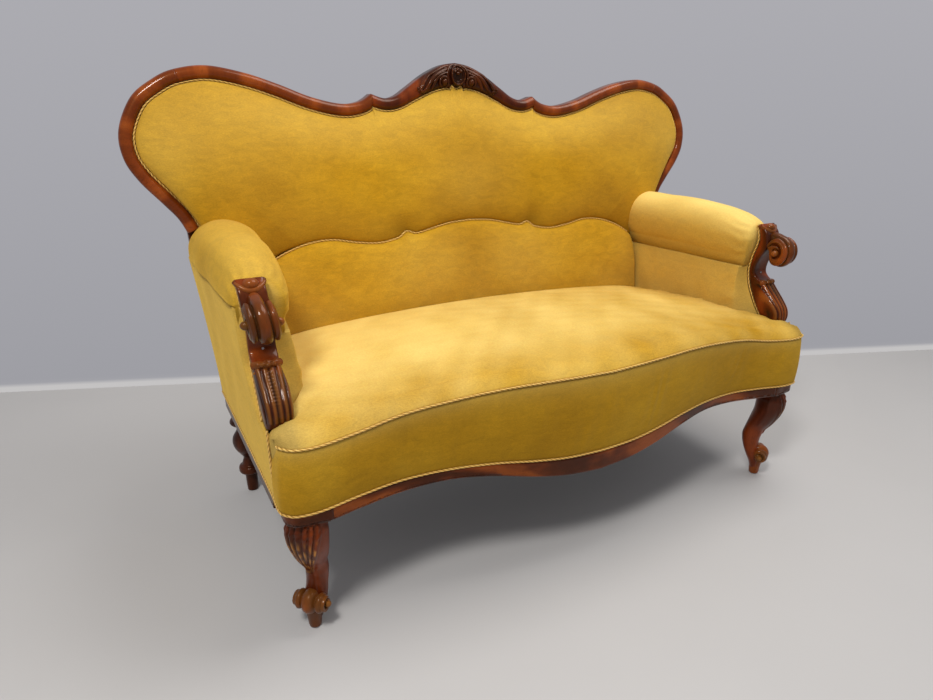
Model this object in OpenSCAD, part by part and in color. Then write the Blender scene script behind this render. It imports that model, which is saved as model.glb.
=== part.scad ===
// Show-wood salon sofa with a shaped back, scrolled arm facings, a serpentine seat front and
// cabriole front legs. Millimetres. The front looks along -Y and the left side lies at -X. The
// origin is on the floor, below the middle of the box around the whole sofa.

/* [Overall] */
// Width across the two wings of the back
overall_w = 1710; // [1500:5:1800]
// Height of the crest above the floor
overall_h = 1120; // [1000:5:1200]
// Depth from the seat piping to the rear of the crest
overall_d = 786; // [740:1:860]

/* [Seat] */
// Width of the seat at its front corners
seat_w = 1396; // [1300:2:1450]
// Width of the seat frame at its rear corners
frame_rear_w = 1434; // [1400:2:1470]
// Height of the seat piping at the middle of the front
seat_edge_h = 474; // [455:1:500]
// How far the seat piping drops towards the corners
seat_edge_drop = 40; // [10:1:50]
// Height of the seat surface where it meets the back
seat_rear_h = 489; // [470:1:510]
// How far the seat surface drops from the middle to the arms
seat_side_drop = 28; // [5:1:40]
// How far the middle of the front stands ahead of its hollows
front_bow = 50; // [20:1:60]
// How far the seat edge stands ahead of the front rail
band_flare = 17; // [5:1:22]
// Thickness of the upholstered band on the front rail
band_t = 20; // [14:1:24]

/* [Seat frame] */
// Height of the lower edge of the front rail at its middle
apron_h = 230; // [215:1:240]
// How far that edge rises towards the legs
apron_rise = 51; // [20:1:55]
// Height of the lower piping at the middle of the front
band_h = 281; // [272:1:288]
// How far the lower piping rises to its highest point
band_rise = 27; // [10:1:30]
// Height of the top of the front rail and of the leg blocks
front_rail_top = 398; // [385:1:405]
// Height of the top of the side rails and the rear rail
side_rail_top = 338; // [325:1:360]
// Thickness of the seat rails
seat_rail_t = 42; // [32:1:48]

/* [Legs] */
// Distance of the legs from the side of the frame
leg_inset = 43; // [40:1:50]
// Radius of the foot of a front leg
front_foot_r = 14; // [11:0.5:17]
// Radius of the foot of a rear leg
rear_foot_r = 15; // [11:0.5:20]
// Radius of the large ball of a rear leg
rear_ball_r = 37; // [28:0.5:40]
// Width of a front leg across the knee
knee_w = 100; // [80:1:104]
// Width of a front leg across the ankle
ankle_w = 43; // [34:1:52]

/* [Back] */
// Backward lean of the back
back_lean = 5.83; // [3:0.1:9]
// Visible width of the back rail
rail_w = 29; // [24:0.5:34]
// Visible height of the crest at its middle
crest_w = 60; // [50:1:66]
// How far the rounded face of the rail stands ahead of its joint
rail_round = 14; // [8:0.5:18]
// Thickness of the back rail behind its rounded face
rail_back_t = 30; // [22:1:36]
// Width of the rebate that carries the back upholstery
rebate_w = 12; // [8:1:16]
// Greatest thickness of the upper back pad
back_crown = 58; // [30:1:75]
// Thickness of the lower back pad at its seam
lumbar_edge_t = 50; // [35:1:65]
// Greatest thickness of the lower back pad
lumbar_crown = 92; // [70:1:100]

/* [Arms] */
// Depth of a carved arm facing
facing_d = 119; // [110:1:125]
// Width of a carved arm facing
facing_w = 56; // [46:1:62]
// Height of the top of the arm facing
facing_top = 708; // [690:1:730]
// Height of the foot of the arm facing
facing_foot = 448; // [440:1:460]
// Height of the seam between the arm roll and the inner arm
arm_seam_h = 606; // [595:1:620]
// Height of the arm roll above that seam at its middle
arm_roll_h = 154; // [130:1:165]
// How far the arm roll drops from its middle to the facing
arm_front_drop = 42; // [20:1:50]
// Width across both sides at the top of the arms
arm_span = 1496; // [1470:2:1520]
// Radius of the scroll at the top of the arm facing
volute_r = 36; // [30:0.5:40]

/* [Trim] */
// Diameter of the twisted cord piping
piping_d = 6.4; // [4:0.2:8]
// Diameter of the wire of the seat springs
spring_wire_d = 4; // [3:0.5:5]
// Clearance between pieces that only touch
gap = 0.3; // [0.2:0.05:0.5]

/* [Hidden] */

// Sizes that follow from the driving dimensions
half_w = overall_w / 2;
half_seat = seat_w / 2;
lean_slope = tan(back_lean);
back_y0 = overall_d / 2 - rail_back_t - overall_h * lean_slope;
flare_mid_share = 0.6;
piping_r = piping_d / 2;
proud_share = 0.36;
piping_proud = proud_share * piping_d;
hollow_y = front_bow + flare_mid_share * band_flare + piping_proud + piping_r - overall_d / 2;
show_t = 4;
panel_t = 4;
arm_front_taper = 36;
join = gap / 2;
seam = piping_r + gap;

// Shares that shape the serpentine front, from the middle to the seam behind the corner:
// across the seat, forward from the hollow, rise of the rail's lower edge, rise of the lower
// piping, height of the seat piping within its drop, and flare of the seat edge.
front_shares = [
    [0.000, 1.00, 0.00, 0.00, 1.00, 0.60],
    [0.125, 0.94, 0.12, 0.09, 1.05, 0.60],
    [0.244, 0.82, 0.42, 0.45, 1.10, 0.65],
    [0.372, 0.56, 0.80, 0.87, 1.08, 0.80],
    [0.511, 0.20, 1.00, 1.00, 0.88, 1.00],
    [0.656, 0.00, 0.92, 0.93, 0.55, 0.80],
    [0.788, 0.20, 0.84, 0.84, 0.15, 0.30],
    [0.895, 0.44, 0.78, 0.72, 0.00, 0.05],
    [0.960, 0.42, 0.78, 0.72, 0.05, 0.05],
    [0.988, 0.16, 0.78, 0.72, 0.25, 0.02],
    [1.000, -0.16, 0.78, 0.72, 0.36, 0.00],
    [1.002, -0.82, 0.78, 0.72, 0.26, 0.00]
];
// Outline of the back rail from the shoulder of the crest out to the foot of the wing, as
// shares of the half width and of the height
rail_shares = [
    [0.292, 0.926], [0.331, 0.909], [0.392, 0.904], [0.480, 0.918], [0.570, 0.943],
    [0.660, 0.964], [0.758, 0.976], [0.840, 0.967], [0.895, 0.948], [0.955, 0.912],
    [0.996, 0.850], [0.996, 0.795], [0.968, 0.750], [0.918, 0.702], [0.886, 0.670],
    [0.868, 0.640]
];
wing_from_count = 7;
// Outline of the crest from its middle to its shoulder
crest_shares = [
    [0.000, 1.000], [0.047, 0.994], [0.105, 0.974], [0.164, 0.945], [0.210, 0.923],
    [0.250, 0.917], [0.292, 0.926]
];
// Fullness of the crest along that outline, between the rail and the middle
crest_full_shares = [1, 0.95, 0.62, 0.26, 0.06, 0.0, 0.0];
// Upper seam of the lower back pad, and on to the outer foot of the upper pad, as shares of the
// half width of the seat and of the height
lumbar_shares = [
    [0.0000, 0.629], [0.0919, 0.625], [0.1715, 0.615], [0.2364, 0.607], [0.2793, 0.613],
    [0.3160, 0.599], [0.3944, 0.591], [0.4777, 0.596], [0.5757, 0.607], [0.6676, 0.603],
    [0.7595, 0.585], [0.8330, 0.560]
];
pad_foot_shares = [[0.9064, 0.570], [0.9873, 0.600]];
// Inner face of the arms, from the back to the front: along the arm, and across the seat
arm_inner_shares = [
    [0.00, 0.838], [0.15, 0.839], [0.30, 0.842], [0.45, 0.846], [0.60, 0.852], [0.78, 0.864],
    [0.86, 0.880], [0.90, 0.917], [1.00, 0.924]
];
// Outline of an arm facing as shares of its depth and height: front edge from the foot up to
// the cap, then rear edge from the cap down
facing_front_shares = [
    [0.06, 0.00], [0.00, 0.08], [0.03, 0.17], [0.12, 0.25], [0.27, 0.34], [0.40, 0.41],
    [0.58, 0.44], [0.70, 0.49], [0.70, 0.58], [0.60, 0.66], [0.50, 0.78], [0.60, 0.90],
    [0.72, 0.97], [0.82, 1.00]
];
facing_rear_shares = [
    [0.97, 0.985], [0.86, 0.83], [0.95, 0.65], [1.00, 0.49], [0.91, 0.335], [0.70, 0.17],
    [0.54, 0.07], [0.48, 0.00]
];

// Curves and solids
function span_at(a, b, c, d, t) =
    (2 * b + (c - a) * t + (2 * a - 5 * b + 4 * c - d) * t * t + (3 * b - a - 3 * c + d) * t * t * t) / 2;
function curve(p, steps) = [
    for (i = [0 : len(p) - 2], k = [0 : steps - 1])
        span_at(p[max(i - 1, 0)], p[i], p[i + 1], p[min(i + 2, len(p) - 1)], k / steps),
    p[len(p) - 1]
];
function mix(a, b, t) = a + (b - a) * t;
function clamp(v, low, high) = min(max(v, low), high);
function unit(v) = v / norm(v);
function sum(v, i = 0) = i < len(v) - 1 ? v[i] + sum(v, i + 1) : v[i];
function flip_x(p) = [for (q = p) [for (k = [0 : len(q) - 1]) k == 0 ? -q[k] : q[k]]];
function reversed(p) = [for (i = [len(p) - 1 : -1 : 0]) p[i]];
function both_sides(p) = concat(reversed(flip_x([for (i = [1 : len(p) - 1]) p[i]])), p);
function along(p, i) = unit(p[min(i + 1, len(p) - 1)] - p[max(i - 1, 0)]);
function inward(p, i) = let (t = along(p, i)) [t[1], -t[0]];
function moved_left(p, d) = [for (i = [0 : len(p) - 1]) p[i] - d * inward(p, i)];
function lookup_pair(table, t, i = 0) =
    i >= len(table) - 2 || t <= table[i + 1][0]
        ? mix(table[i][1], table[i + 1][1], (t - table[i][0]) / (table[i + 1][0] - table[i][0]))
        : lookup_pair(table, t, i + 1);
function volume6(points, faces) =
    sum([for (f = faces) points[f[0]] * cross(points[f[1]], points[f[2]])]);

// A closed solid whose triangles are turned outwards
module solid(points, faces) {
    outward = volume6(points, faces) < 0;
    polyhedron(points, outward ? faces : [for (f = faces) reversed(f)]);
}

// A solid through equal rings of points, closed at each end by a fan about the middle of the
// ring, or about one of its points
module loft(rings, hub = -1) {
    n = len(rings[0]);
    m = len(rings);
    function hub_point(r) = hub < 0 ? sum(r) / n : r[hub];
    points = concat([for (r = rings) each r], [hub_point(rings[0]), hub_point(rings[m - 1])]);
    sides = [
        for (i = [0 : m - 2], k = [0 : n - 1])
            let (a = i * n + k, b = i * n + (k + 1) % n)
                each [[a, b, b + n], [a, b + n, a + n]]
    ];
    ends = [
        for (k = [0 : n - 1])
            let (j = (k + 1) % n, last = (m - 1) * n)
                if (j != hub && k != hub)
                    each [
                        [j, k, hub < 0 ? m * n : hub],
                        [last + k, last + j, hub < 0 ? m * n + 1 : last + hub]
                    ]
    ];
    solid(points, concat(sides, ends));
}

// A solid between two equal grids of points
module slab(top, bottom) {
    m = len(top);
    n = len(top[0]);
    all = m * n;
    points = concat([for (r = top) each r], [for (r = bottom) each r]);
    cells = [
        for (i = [0 : m - 2], j = [0 : n - 2])
            let (a = i * n + j)
                each [[a, a + 1, a + n + 1], [a, a + n + 1, a + n]]
    ];
    border = concat(
        [for (j = [0 : n - 2]) j],
        [for (i = [0 : m - 2]) i * n + n - 1],
        [for (j = [n - 1 : -1 : 1]) (m - 1) * n + j],
        [for (i = [m - 1 : -1 : 1]) i * n]
    );
    rim = [
        for (k = [0 : len(border) - 1])
            let (a = border[k], b = border[(k + 1) % len(border)])
                each [[b, a, a + all], [b, a + all, b + all]]
    ];
    under = [for (f = cells) [f[2] + all, f[1] + all, f[0] + all]];
    solid(points, concat(cells, under, rim));
}

// A round cord along a route; the reference direction keeps its section from turning
module cord(route, d, reference, sides = 5) {
    rings = [
        for (i = [0 : len(route) - 1])
            let (
                t = along(route, i),
                u = unit(cross(t, reference)),
                v = cross(t, u)
            )
                [
                    for (k = [0 : sides - 1])
                        let (a = 360 * k / sides) route[i] + d / 2 * (cos(a) * u + sin(a) * v)
                ]
    ];
    loft(rings);
}

// Draws the right-hand child, or its mirror image for the left-hand side
module on_side(side) {
    if (side < 0)
        mirror([1, 0, 0]) children();
    else
        children();
}

// The serpentine front
function front_point(s) = [
    s[0] * half_seat,
    hollow_y - s[1] * front_bow,
    apron_h + s[2] * apron_rise,
    band_h + s[3] * band_rise,
    seat_edge_h + (s[4] - 1) * seat_edge_drop,
    s[5] * band_flare
];
front_half = curve([for (s = front_shares) front_point(s)], 2);
front_line = both_sides(front_half);
corner_steps = 8;
rail_end = len(front_half) - 1 - corner_steps;
function front_xy(i) = [front_line[i][0], front_line[i][1]];
function front_inward(i) =
    let (t = unit(front_xy(min(i + 1, len(front_line) - 1)) - front_xy(max(i - 1, 0))))
        [-t[1], t[0]];
function front_at(i, inset) = front_xy(i) + inset * front_inward(i);
function seat_xy(i, inset) = front_at(i, inset) - [0, front_line[i][5]];
front_count = len(front_line);
seat_skip_count = 2;
seat_to = front_count - 1 - seat_skip_count;
seam_y = front_half[len(front_half) - 1][1];
corner_x = half_seat;
corner_apron_h = front_half[len(front_half) - 1][2];
corner_band_h = front_half[len(front_half) - 1][3];

// The back plane and the sides
function plane_y(z) = back_y0 + z * lean_slope;
rear_y = plane_y(corner_apron_h) + rail_back_t;
arm_top = arm_seam_h + arm_roll_h;
side_top_z = arm_seam_h + arm_roll_h / 2;
function side_x(y) = mix(corner_x, frame_rear_w / 2, (y - seam_y) / (rear_y - seam_y));
side_hollow = 1.3;
function outer_x(y, z) =
    let (up = clamp((z - corner_band_h) / (side_top_z - corner_band_h), 0, 1))
        mix(
            side_x(y),
            arm_span / 2 - (rear_y - y) / (rear_y - seam_y) * arm_front_taper,
            pow(up, side_hollow)
        );
frame_low_z = corner_apron_h;
strip_top_z = corner_band_h - seam;

// One cross-section of a side rail: a flush show strip below, set back behind the panel above
function side_rail_ring(y) =
    let (x = side_x(y), deep = panel_t + 2 * gap)
        [
            [x - seat_rail_t, y, frame_low_z],
            [x, y, frame_low_z],
            [x, y, strip_top_z],
            [x - deep, y, strip_top_z],
            [x - deep, y, side_rail_top],
            [x - seat_rail_t, y, side_rail_top]
        ];
block_d = 66;
block_rear_y = seam_y + block_d / 2;
module side_rail(side) {
    color("#5a2a16")
        on_side(side)
            loft([side_rail_ring(block_rear_y + gap), side_rail_ring(plane_y(frame_low_z) - gap)]);
}

module front_rail() {
    set_back = band_t + gap;
    color("#6b3018")
        loft([
            for (i = [len(front_half) - 1 - rail_end : len(front_half) - 1 + rail_end])
                let (
                    f = front_at(i, 0),
                    s = front_at(i, show_t),
                    u = front_at(i, set_back),
                    r = front_at(i, seat_rail_t),
                    low = front_line[i][2],
                    high = front_line[i][3] - seam
                )
                    [
                        [r[0], r[1], low],
                        [s[0], s[1], low],
                        [f[0], f[1], low + show_t],
                        [f[0], f[1], high],
                        [u[0], u[1], high],
                        [u[0], u[1], front_rail_top],
                        [r[0], r[1], front_rail_top]
                    ]
        ], 4);
}

rear_leg_x = frame_rear_w / 2 - leg_inset;
rear_leg_set = 12;
rear_leg_y = rear_y - rear_leg_set;
spigot_r = 9;
spigot_h = 40;
module rear_rail() {
    front_y = plane_y(frame_low_z);
    high = side_rail_top - gap;
    section = [[front_y, frame_low_z], [rear_y, frame_low_z], [rear_y, high], [front_y, high]];
    function ring(side) =
        [for (q = section) [side * (side_x(q[0]) - panel_t - 2 * gap), q[0], q[1]]];
    color("#5a2a16")
        difference() {
            loft([ring(-1), ring(1)]);
            for (side = [-1, 1])
                translate([side * rear_leg_x, rear_leg_y, frame_low_z - gap])
                    cylinder(h = spigot_h + 2 * gap, r = spigot_r + gap, $fn = 40);
        }
}

centre_rail_w = 40;
centre_rail_h = 46;
webbing_t = 2;
cover_t = 1.2;
cover_z = apron_h + apron_rise + gap;
webbing_z = cover_z + cover_t + gap;
webbing_top = webbing_z + webbing_t;
module centre_rail() {
    front_y = mix(well_half[0][1], well_half[1][1], 0.5);
    depth = plane_y(frame_low_z) - gap - front_y;
    low = webbing_top + gap;
    color("#8a5a32")
        translate([-centre_rail_w / 2, front_y, low]) cube([centre_rail_w, depth, centre_rail_h]);
}

brace = 70;
module corner_blocks() {
    low = webbing_top + gap;
    tall = side_rail_top - low - gap;
    for (side = [-1, 1])
        color("#8a5a32")
            on_side(side) {
                x = side_x(plane_y(low) - brace) - seat_rail_t - gap;
                y = plane_y(frame_low_z) - gap;
                translate([0, 0, low])
                    linear_extrude(tall)
                        polygon([[x, y], [x - brace, y], [x, y - brace]]);
                front_x = side_x(block_rear_y) - seat_rail_t - gap;
                translate([0, 0, low])
                    linear_extrude(tall)
                        polygon([
                            [front_x, block_rear_y + gap],
                            [front_x - brace / 2, block_rear_y + gap],
                            [front_x, block_rear_y + brace]
                        ]);
            }
}

// Front legs: a cabriole shaft on the diagonal of the corner, a rounded strip and a block above
// it that the seat rails meet, a scrolled toe and a short round foot
leg_h = corner_apron_h;
leg_x = corner_x - leg_inset;
leg_y = seam_y - leg_inset / 4;
toe_r = 17;
toe_w = 62;
toe_disc_r = 10;
toe_disc_w = 80;
// Height share, outward reach of the outer and inner faces as shares of the knee width, and
// width as a share between ankle and knee
leg_shares = [
    [1.00, 0.50, -0.26, 1.00],
    [0.86, 0.52, -0.27, 0.96],
    [0.76, 0.47, -0.29, 0.80],
    [0.64, 0.30, -0.39, 0.45],
    [0.53, 0.08, -0.49, 0.06],
    [0.43, -0.04, -0.52, 0.00],
    [0.33, -0.06, -0.48, 0.02],
    [0.23, 0.02, -0.38, 0.10],
    [0.146, 0.00, -0.27, -0.05],
    [0.087, 0.00, -0.22, -0.25]
];
leg_sides = 12;
squareness = 0.9;
foot_share = -0.07;
foot_h_share = 0.2;
toe_share = 0.5;
toe_h_share = 0.235;
function squared(a) = sign(a) * pow(abs(a), squareness);
function leg_ring(s) =
    let (
        z = s[0] * leg_h,
        mid = (s[1] + s[2]) / 2 * knee_w,
        deep = (s[1] - s[2]) / 2 * knee_w,
        wide = mix(ankle_w, knee_w, s[3]) / 2
    )
        [
            for (k = [0 : leg_sides - 1])
                let (a = 360 * k / leg_sides + 360 / leg_sides / 2)
                    [mid + deep * squared(cos(a)), wide * squared(sin(a)), z]
        ];
block_from = front_count - 1 - corner_steps;
function block_outline(inset) = concat(
    [for (i = [block_from : front_count - 1]) front_at(i, inset) + (i == block_from ? [gap, 0] : [0, 0])],
    [
        [side_x(block_rear_y) - inset, block_rear_y],
        [leg_block_x + gap, block_rear_y],
        [leg_block_x + gap, front_at(block_from, seat_rail_t)[1]]
    ]
);
module front_leg(side) {
    color("#6b3018")
        on_side(side) {
            translate([leg_x, leg_y, 0])
                rotate([0, 0, -45]) {
                    loft(curve([for (s = leg_shares) leg_ring(s)], 2));
                    translate([foot_share * knee_w, 0, 0])
                        cylinder(h = leg_h * foot_h_share, r = front_foot_r, $fn = 48);
                    translate([toe_r * toe_share, toe_w / 2, leg_h * toe_h_share])
                        rotate([90, 0, 0])
                            cylinder(h = toe_w, r = toe_r, $fn = 40);
                    translate([toe_r * toe_share, toe_disc_w / 2, leg_h * toe_h_share])
                        rotate([90, 0, 0])
                            cylinder(h = toe_disc_w, r = toe_disc_r, $fn = 32);
                }
            translate([0, 0, leg_h - join])
                linear_extrude(strip_top_z - leg_h + join)
                    polygon(block_outline(0));
            translate([0, 0, leg_h])
                linear_extrude(front_rail_top - leg_h)
                    polygon(block_outline(band_t + gap));
        }
}

rear_neck_r = 15;
rear_disc_r = 30;
rear_ring_r = 38;
// Profile of a turned rear leg: height share and radius
rear_profile = [
    [0.00, rear_foot_r * 0.93], [0.02, rear_foot_r], [0.19, rear_foot_r * 1.10],
    [0.205, rear_disc_r * 0.8], [0.22, rear_disc_r * 0.97], [0.25, rear_disc_r],
    [0.28, rear_disc_r * 0.93], [0.295, rear_disc_r * 0.7], [0.33, rear_neck_r * 1.2],
    [0.38, rear_neck_r], [0.43, rear_neck_r * 1.5], [0.49, rear_ball_r * 0.88],
    [0.55, rear_ball_r], [0.61, rear_ball_r * 0.95], [0.67, rear_ball_r * 0.7],
    [0.71, rear_neck_r * 1.3], [0.735, rear_neck_r * 1.3], [0.755, rear_ring_r * 0.85],
    [0.78, rear_ring_r], [0.81, rear_ring_r * 0.9], [0.83, rear_foot_r * 1.5],
    [1.00, rear_foot_r * 1.5]
];
module rear_leg(side) {
    color("#4a2114")
        on_side(side)
            translate([rear_leg_x, rear_leg_y, 0])
                rotate_extrude($fn = 48)
                    polygon(concat(
                        [[0, 0]],
                        [for (p = rear_profile) [p[1], p[0] * (frame_low_z - gap)]],
                        [
                            [spigot_r, frame_low_z - gap],
                            [spigot_r, frame_low_z + spigot_h - gap],
                            [0, frame_low_z + spigot_h - gap]
                        ]
                    ));
}

// Back frame
rail_line = curve([for (s = rail_shares) [s[0] * half_w, s[1] * overall_h]], 2);
crest_line = curve([for (s = crest_shares) [s[0] * half_w, s[1] * overall_h]], 2);
crest_full = curve(crest_full_shares, 2);
wing_start = wing_from_count * 2;
function crest_width(i) = mix(rail_w, crest_w, crest_full[i]);
// One ring of the back rail: a rounded face, with a rebate on its inner side
function rail_ring(p, n, width) =
    let (
        face = [for (a = [0 : 30 : 180]) [width * (1 - cos(a)) / 2, -rail_round * sin(a)]],
        section = concat(face, [[width + rebate_w, 0], [width + rebate_w, rail_back_t], [0, rail_back_t]])
    )
        [for (s = section) let (q = p + s[0] * n) [q[0], plane_y(q[1]) + s[1], q[1]]];
function crest_across(i) = i == 0 || i == len(crest_line) - 1 ? [0, -1] : inward(crest_line, i);
function rail_across(i) =
    i == 0 ? [0, -1] : i == 1 ? unit([0, -1] + inward(rail_line, i)) : inward(rail_line, i);

module top_rail(side) {
    rings = [
        for (i = [0 : wing_start])
            rail_ring(rail_line[i] + (i == 0 ? [join, 0] : [0, 0]), rail_across(i), rail_w)
    ];
    color("#6b3018") on_side(side) loft(rings);
}

module wing_rail(side) {
    last = len(rail_line) - 1;
    shift = gap * along(rail_line, wing_start);
    rings = [
        for (i = [wing_start : last])
            rail_ring(rail_line[i] + (i == wing_start ? shift : [0, 0]), inward(rail_line, i), rail_w)
    ];
    color("#6b3018") on_side(side) loft(rings);
}

module crest_rail() {
    last = len(crest_line) - 1;
    half = [
        for (i = [0 : last])
            rail_ring(crest_line[i] - (i == last ? [join, 0] : [0, 0]), crest_across(i), crest_width(i))
    ];
    left = reversed([for (i = [1 : len(half) - 1]) flip_x(half[i])]);
    color("#6b3018") loft(concat(left, half));
}

// The applied carving of the crest: a leaf-shaped plate, a rimmed boss, and a ball in a scroll
// on each side
plate_t = 5;
plate_edge = 8;
plate_points = 5;
boss_drop = 31;
boss_r = 23;
boss_t = 9;
bead_r = 3;
button_r = 9;
button_t = 14;
scroll_x = 47;
scroll_drop = 37;
scroll_r = 13;
scroll_bead_r = 4.5;
scroll_turn = 290;
ball_r = 8;
module crest_carving() {
    function plate_line(far) = [
        for (i = [0 : plate_points])
            let (
                deep = mix(plate_edge, crest_width(i) / 2, pow(i / plate_points, 2)),
                q = crest_line[i] + (far ? crest_width(i) - deep : deep) * crest_across(i)
            )
                [q[0], (q[1] - overall_h) / cos(back_lean)]
    ];
    upper = both_sides(plate_line(false));
    lower = both_sides(plate_line(true));
    color("#3f1a10")
        translate([0, plane_y(overall_h), overall_h])
            rotate([90 - back_lean, 0, 0])
                translate([0, 0, rail_round + gap]) {
                    linear_extrude(plate_t)
                        polygon(concat(upper, reversed([for (i = [1 : len(lower) - 2]) lower[i]])));
                    translate([0, -boss_drop, 0]) {
                        cylinder(h = plate_t + boss_t, r = boss_r, $fn = 48);
                        cylinder(h = plate_t + button_t, r = button_r, $fn = 40);
                        translate([0, 0, plate_t + boss_t])
                            rotate_extrude($fn = 48)
                                translate([boss_r - bead_r, 0]) circle(r = bead_r, $fn = 16);
                    }
                    for (side = [-1, 1])
                        translate([side * scroll_x, -scroll_drop, plate_t]) {
                            translate([0, 0, ball_r / 2]) sphere(r = ball_r, $fn = 32);
                            rotate([0, 0, 90 - side * scroll_turn / 2])
                                rotate_extrude(angle = scroll_turn, $fn = 40)
                                    translate([scroll_r, 0]) circle(r = scroll_bead_r, $fn = 16);
                        }
                }
}

// Posts that carry the wings
post_w = 44;
post_levels = [0, 0.3, 0.6, 1];
wing_end = len(rail_line) - 1;
function post_ring(z) = [
    for (q = [[-post_w, 0], [0, 0], [0, rail_back_t], [-post_w, rail_back_t]])
        let (y = plane_y(z) + q[1]) [frame_x(y, z) + q[0], y, z]
];
function post_top_ring() =
    let (
        t = along(rail_line, wing_end),
        n = inward(rail_line, wing_end),
        p = rail_line[wing_end] + gap * t,
        q = p + (rail_w + rebate_w) * n
    )
        [
            [q[0], plane_y(q[1]), q[1]],
            [p[0], plane_y(p[1]), p[1]],
            [p[0], plane_y(p[1]) + rail_back_t, p[1]],
            [q[0], plane_y(q[1]) + rail_back_t, q[1]]
        ];
module back_post(side) {
    color("#8a5a32")
        on_side(side)
            loft([
                for (t = post_levels) post_ring(mix(side_rail_top + gap, arm_seam_h, t)),
                post_top_ring()
            ]);
}

low_rail_h = 46;
low_rail_z = seat_rear_h + gap;
function post_inner_x(z) = post_ring(z)[0][0];
module lower_back_rail() {
    function ring(side) = [
        for (z = [low_rail_z, low_rail_z + low_rail_h])
            [side * (post_inner_x(z) - gap), plane_y(z), z],
        for (z = [low_rail_z + low_rail_h, low_rail_z])
            [side * (post_inner_x(z) - gap), plane_y(z) + rail_back_t, z]
    ];
    color("#8a5a32") loft([ring(-1), ring(1)]);
}

stile_w = 50;
module centre_stile() {
    low = low_rail_z + low_rail_h + gap;
    high = lookup_pair(rim_line(rebate_w), stile_w / 2) - gap;
    function ring(z) = [
        [-stile_w / 2, plane_y(z), z],
        [stile_w / 2, plane_y(z), z],
        [stile_w / 2, plane_y(z) + rail_back_t, z],
        [-stile_w / 2, plane_y(z) + rail_back_t, z]
    ];
    color("#8a5a32") loft([ring(low), ring(high)]);
}

// Arms: the frame inside them
arm_rail_t = 34;
arm_rail_h = 32;
stump_w = 34;
facing_inset = 23;
facing_ahead = 3;
facing_x = half_seat - facing_inset;
facing_inner_x = facing_x - facing_w / 2;
facing_y = seam_y - facing_ahead;
facing_h = facing_top - facing_foot;
stump_y = facing_y + facing_d + gap;
stump_top = arm_seam_h - gap;
low_arm_rail_z = 402;
function frame_x(y, z) = outer_x(y, z) - panel_t - 2 * gap;
function arm_z(share) = facing_foot + share * facing_h;

module arm_stump(side) {
    x = min(frame_x(stump_y, side_rail_top), facing_inner_x + facing_w - piping_d - 2 * gap);
    color("#8a5a32")
        on_side(side)
            difference() {
                translate([x - stump_w, stump_y, side_rail_top + gap])
                    cube([stump_w, stump_w, stump_top - side_rail_top - gap]);
                screw_places(gap);
            }
}

// A rail of an arm between the stump and the back post
module arm_rail(low) {
    y = stump_y + stump_w + gap;
    function ring(rear) = [
        for (q = [[-arm_rail_t, 0], [0, 0], [0, arm_rail_h], [-arm_rail_t, arm_rail_h]])
            let (end_y = rear ? plane_y(low + q[1]) - gap : y)
                [frame_x(end_y, low) + q[0], end_y, low + q[1]]
    ];
    color("#8a5a32") loft([ring(false), ring(true)]);
}
module arm_top_rail(side) on_side(side) arm_rail(stump_top - arm_rail_h);
module arm_low_rail(side) on_side(side) arm_rail(low_arm_rail_z);

// Carved facings: a scrolled outline, the scroll with a knob on each side, a beaded collar, a
// rolled cap, and a tongue that stands on the leg block
facing_knob_r = 11;
facing_knob_w = 76;
collar_r = 11;
cap_r = 12;
tongue_inset = 5;
scroll_share = [0.45, 0.738];
collar_share = [0.42, 0.40];
cap_share = [0.80, 0.965];
tongue_share = [0.08, 0.40];
function facing_at(s) = [facing_y + s[0] * facing_d, arm_z(s[1])];
facing_front = curve([for (s = facing_front_shares) facing_at(s)], 2);
facing_rear = curve([for (s = facing_rear_shares) facing_at(s)], 2);
function rear_line(d) = moved_left(facing_rear, d);
behind_cord = reversed([for (q = rear_line(seam + piping_r + gap)) [q[1], q[0]]]);
function behind_y(z) = lookup_pair(behind_cord, z);
module across_facing(share, r, w) {
    p = facing_at(share);
    translate([facing_x - w / 2, p[0], p[1]]) rotate([0, 90, 0]) cylinder(h = w, r = r, $fn = 40);
}
module arm_facing(side) {
    tongue_y = facing_at([tongue_share[0], 0])[0];
    color("#6b3018")
        on_side(side)
            difference() {
                union() {
                    translate([facing_inner_x, 0, 0])
                        rotate([90, 0, 90])
                            linear_extrude(facing_w)
                                polygon(concat(facing_front, facing_rear));
                    across_facing(scroll_share, volute_r, facing_w - tongue_inset);
                    across_facing(scroll_share, facing_knob_r, facing_knob_w);
                    across_facing(collar_share, collar_r, facing_w + tongue_inset);
                    across_facing(cap_share, cap_r, facing_w);
                    translate([facing_inner_x + tongue_inset, tongue_y, front_rail_top + gap])
                        cube([
                            facing_w / 2 + tongue_inset,
                            (tongue_share[1] - tongue_share[0]) * facing_d,
                            arm_z(tongue_share[0]) - front_rail_top
                        ]);
                }
                screw_places(0);
            }
}

// Screws from behind the stump into the facing
screw_r = 2.5;
screw_head_r = 6;
screw_head_t = 4;
screw_depth = 20;
screw_shares = [0.5, 0.8];
function screw_z(s) = mix(facing_foot, arm_seam_h, s);
module screw_places(clearance) {
    deeper = max(clearance, 0);
    for (s = screw_shares) {
        tip_y = behind_y(screw_z(s)) - seam - piping_r - gap - screw_depth;
        screw_l = stump_y + stump_w - gap - tip_y;
        translate([facing_x, tip_y, screw_z(s)])
            rotate([-90, 0, 0]) {
                cylinder(h = screw_l, r = screw_r + clearance, $fn = 24);
                translate([0, 0, screw_l - screw_head_t - deeper])
                    cylinder(h = screw_head_t + 3 * deeper, r = screw_head_r + clearance, $fn = 32);
            }
    }
}
module facing_screws() {
    color("#9a9aa0")
        for (side = [-1, 1])
            on_side(side) screw_places(-join);
}

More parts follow.
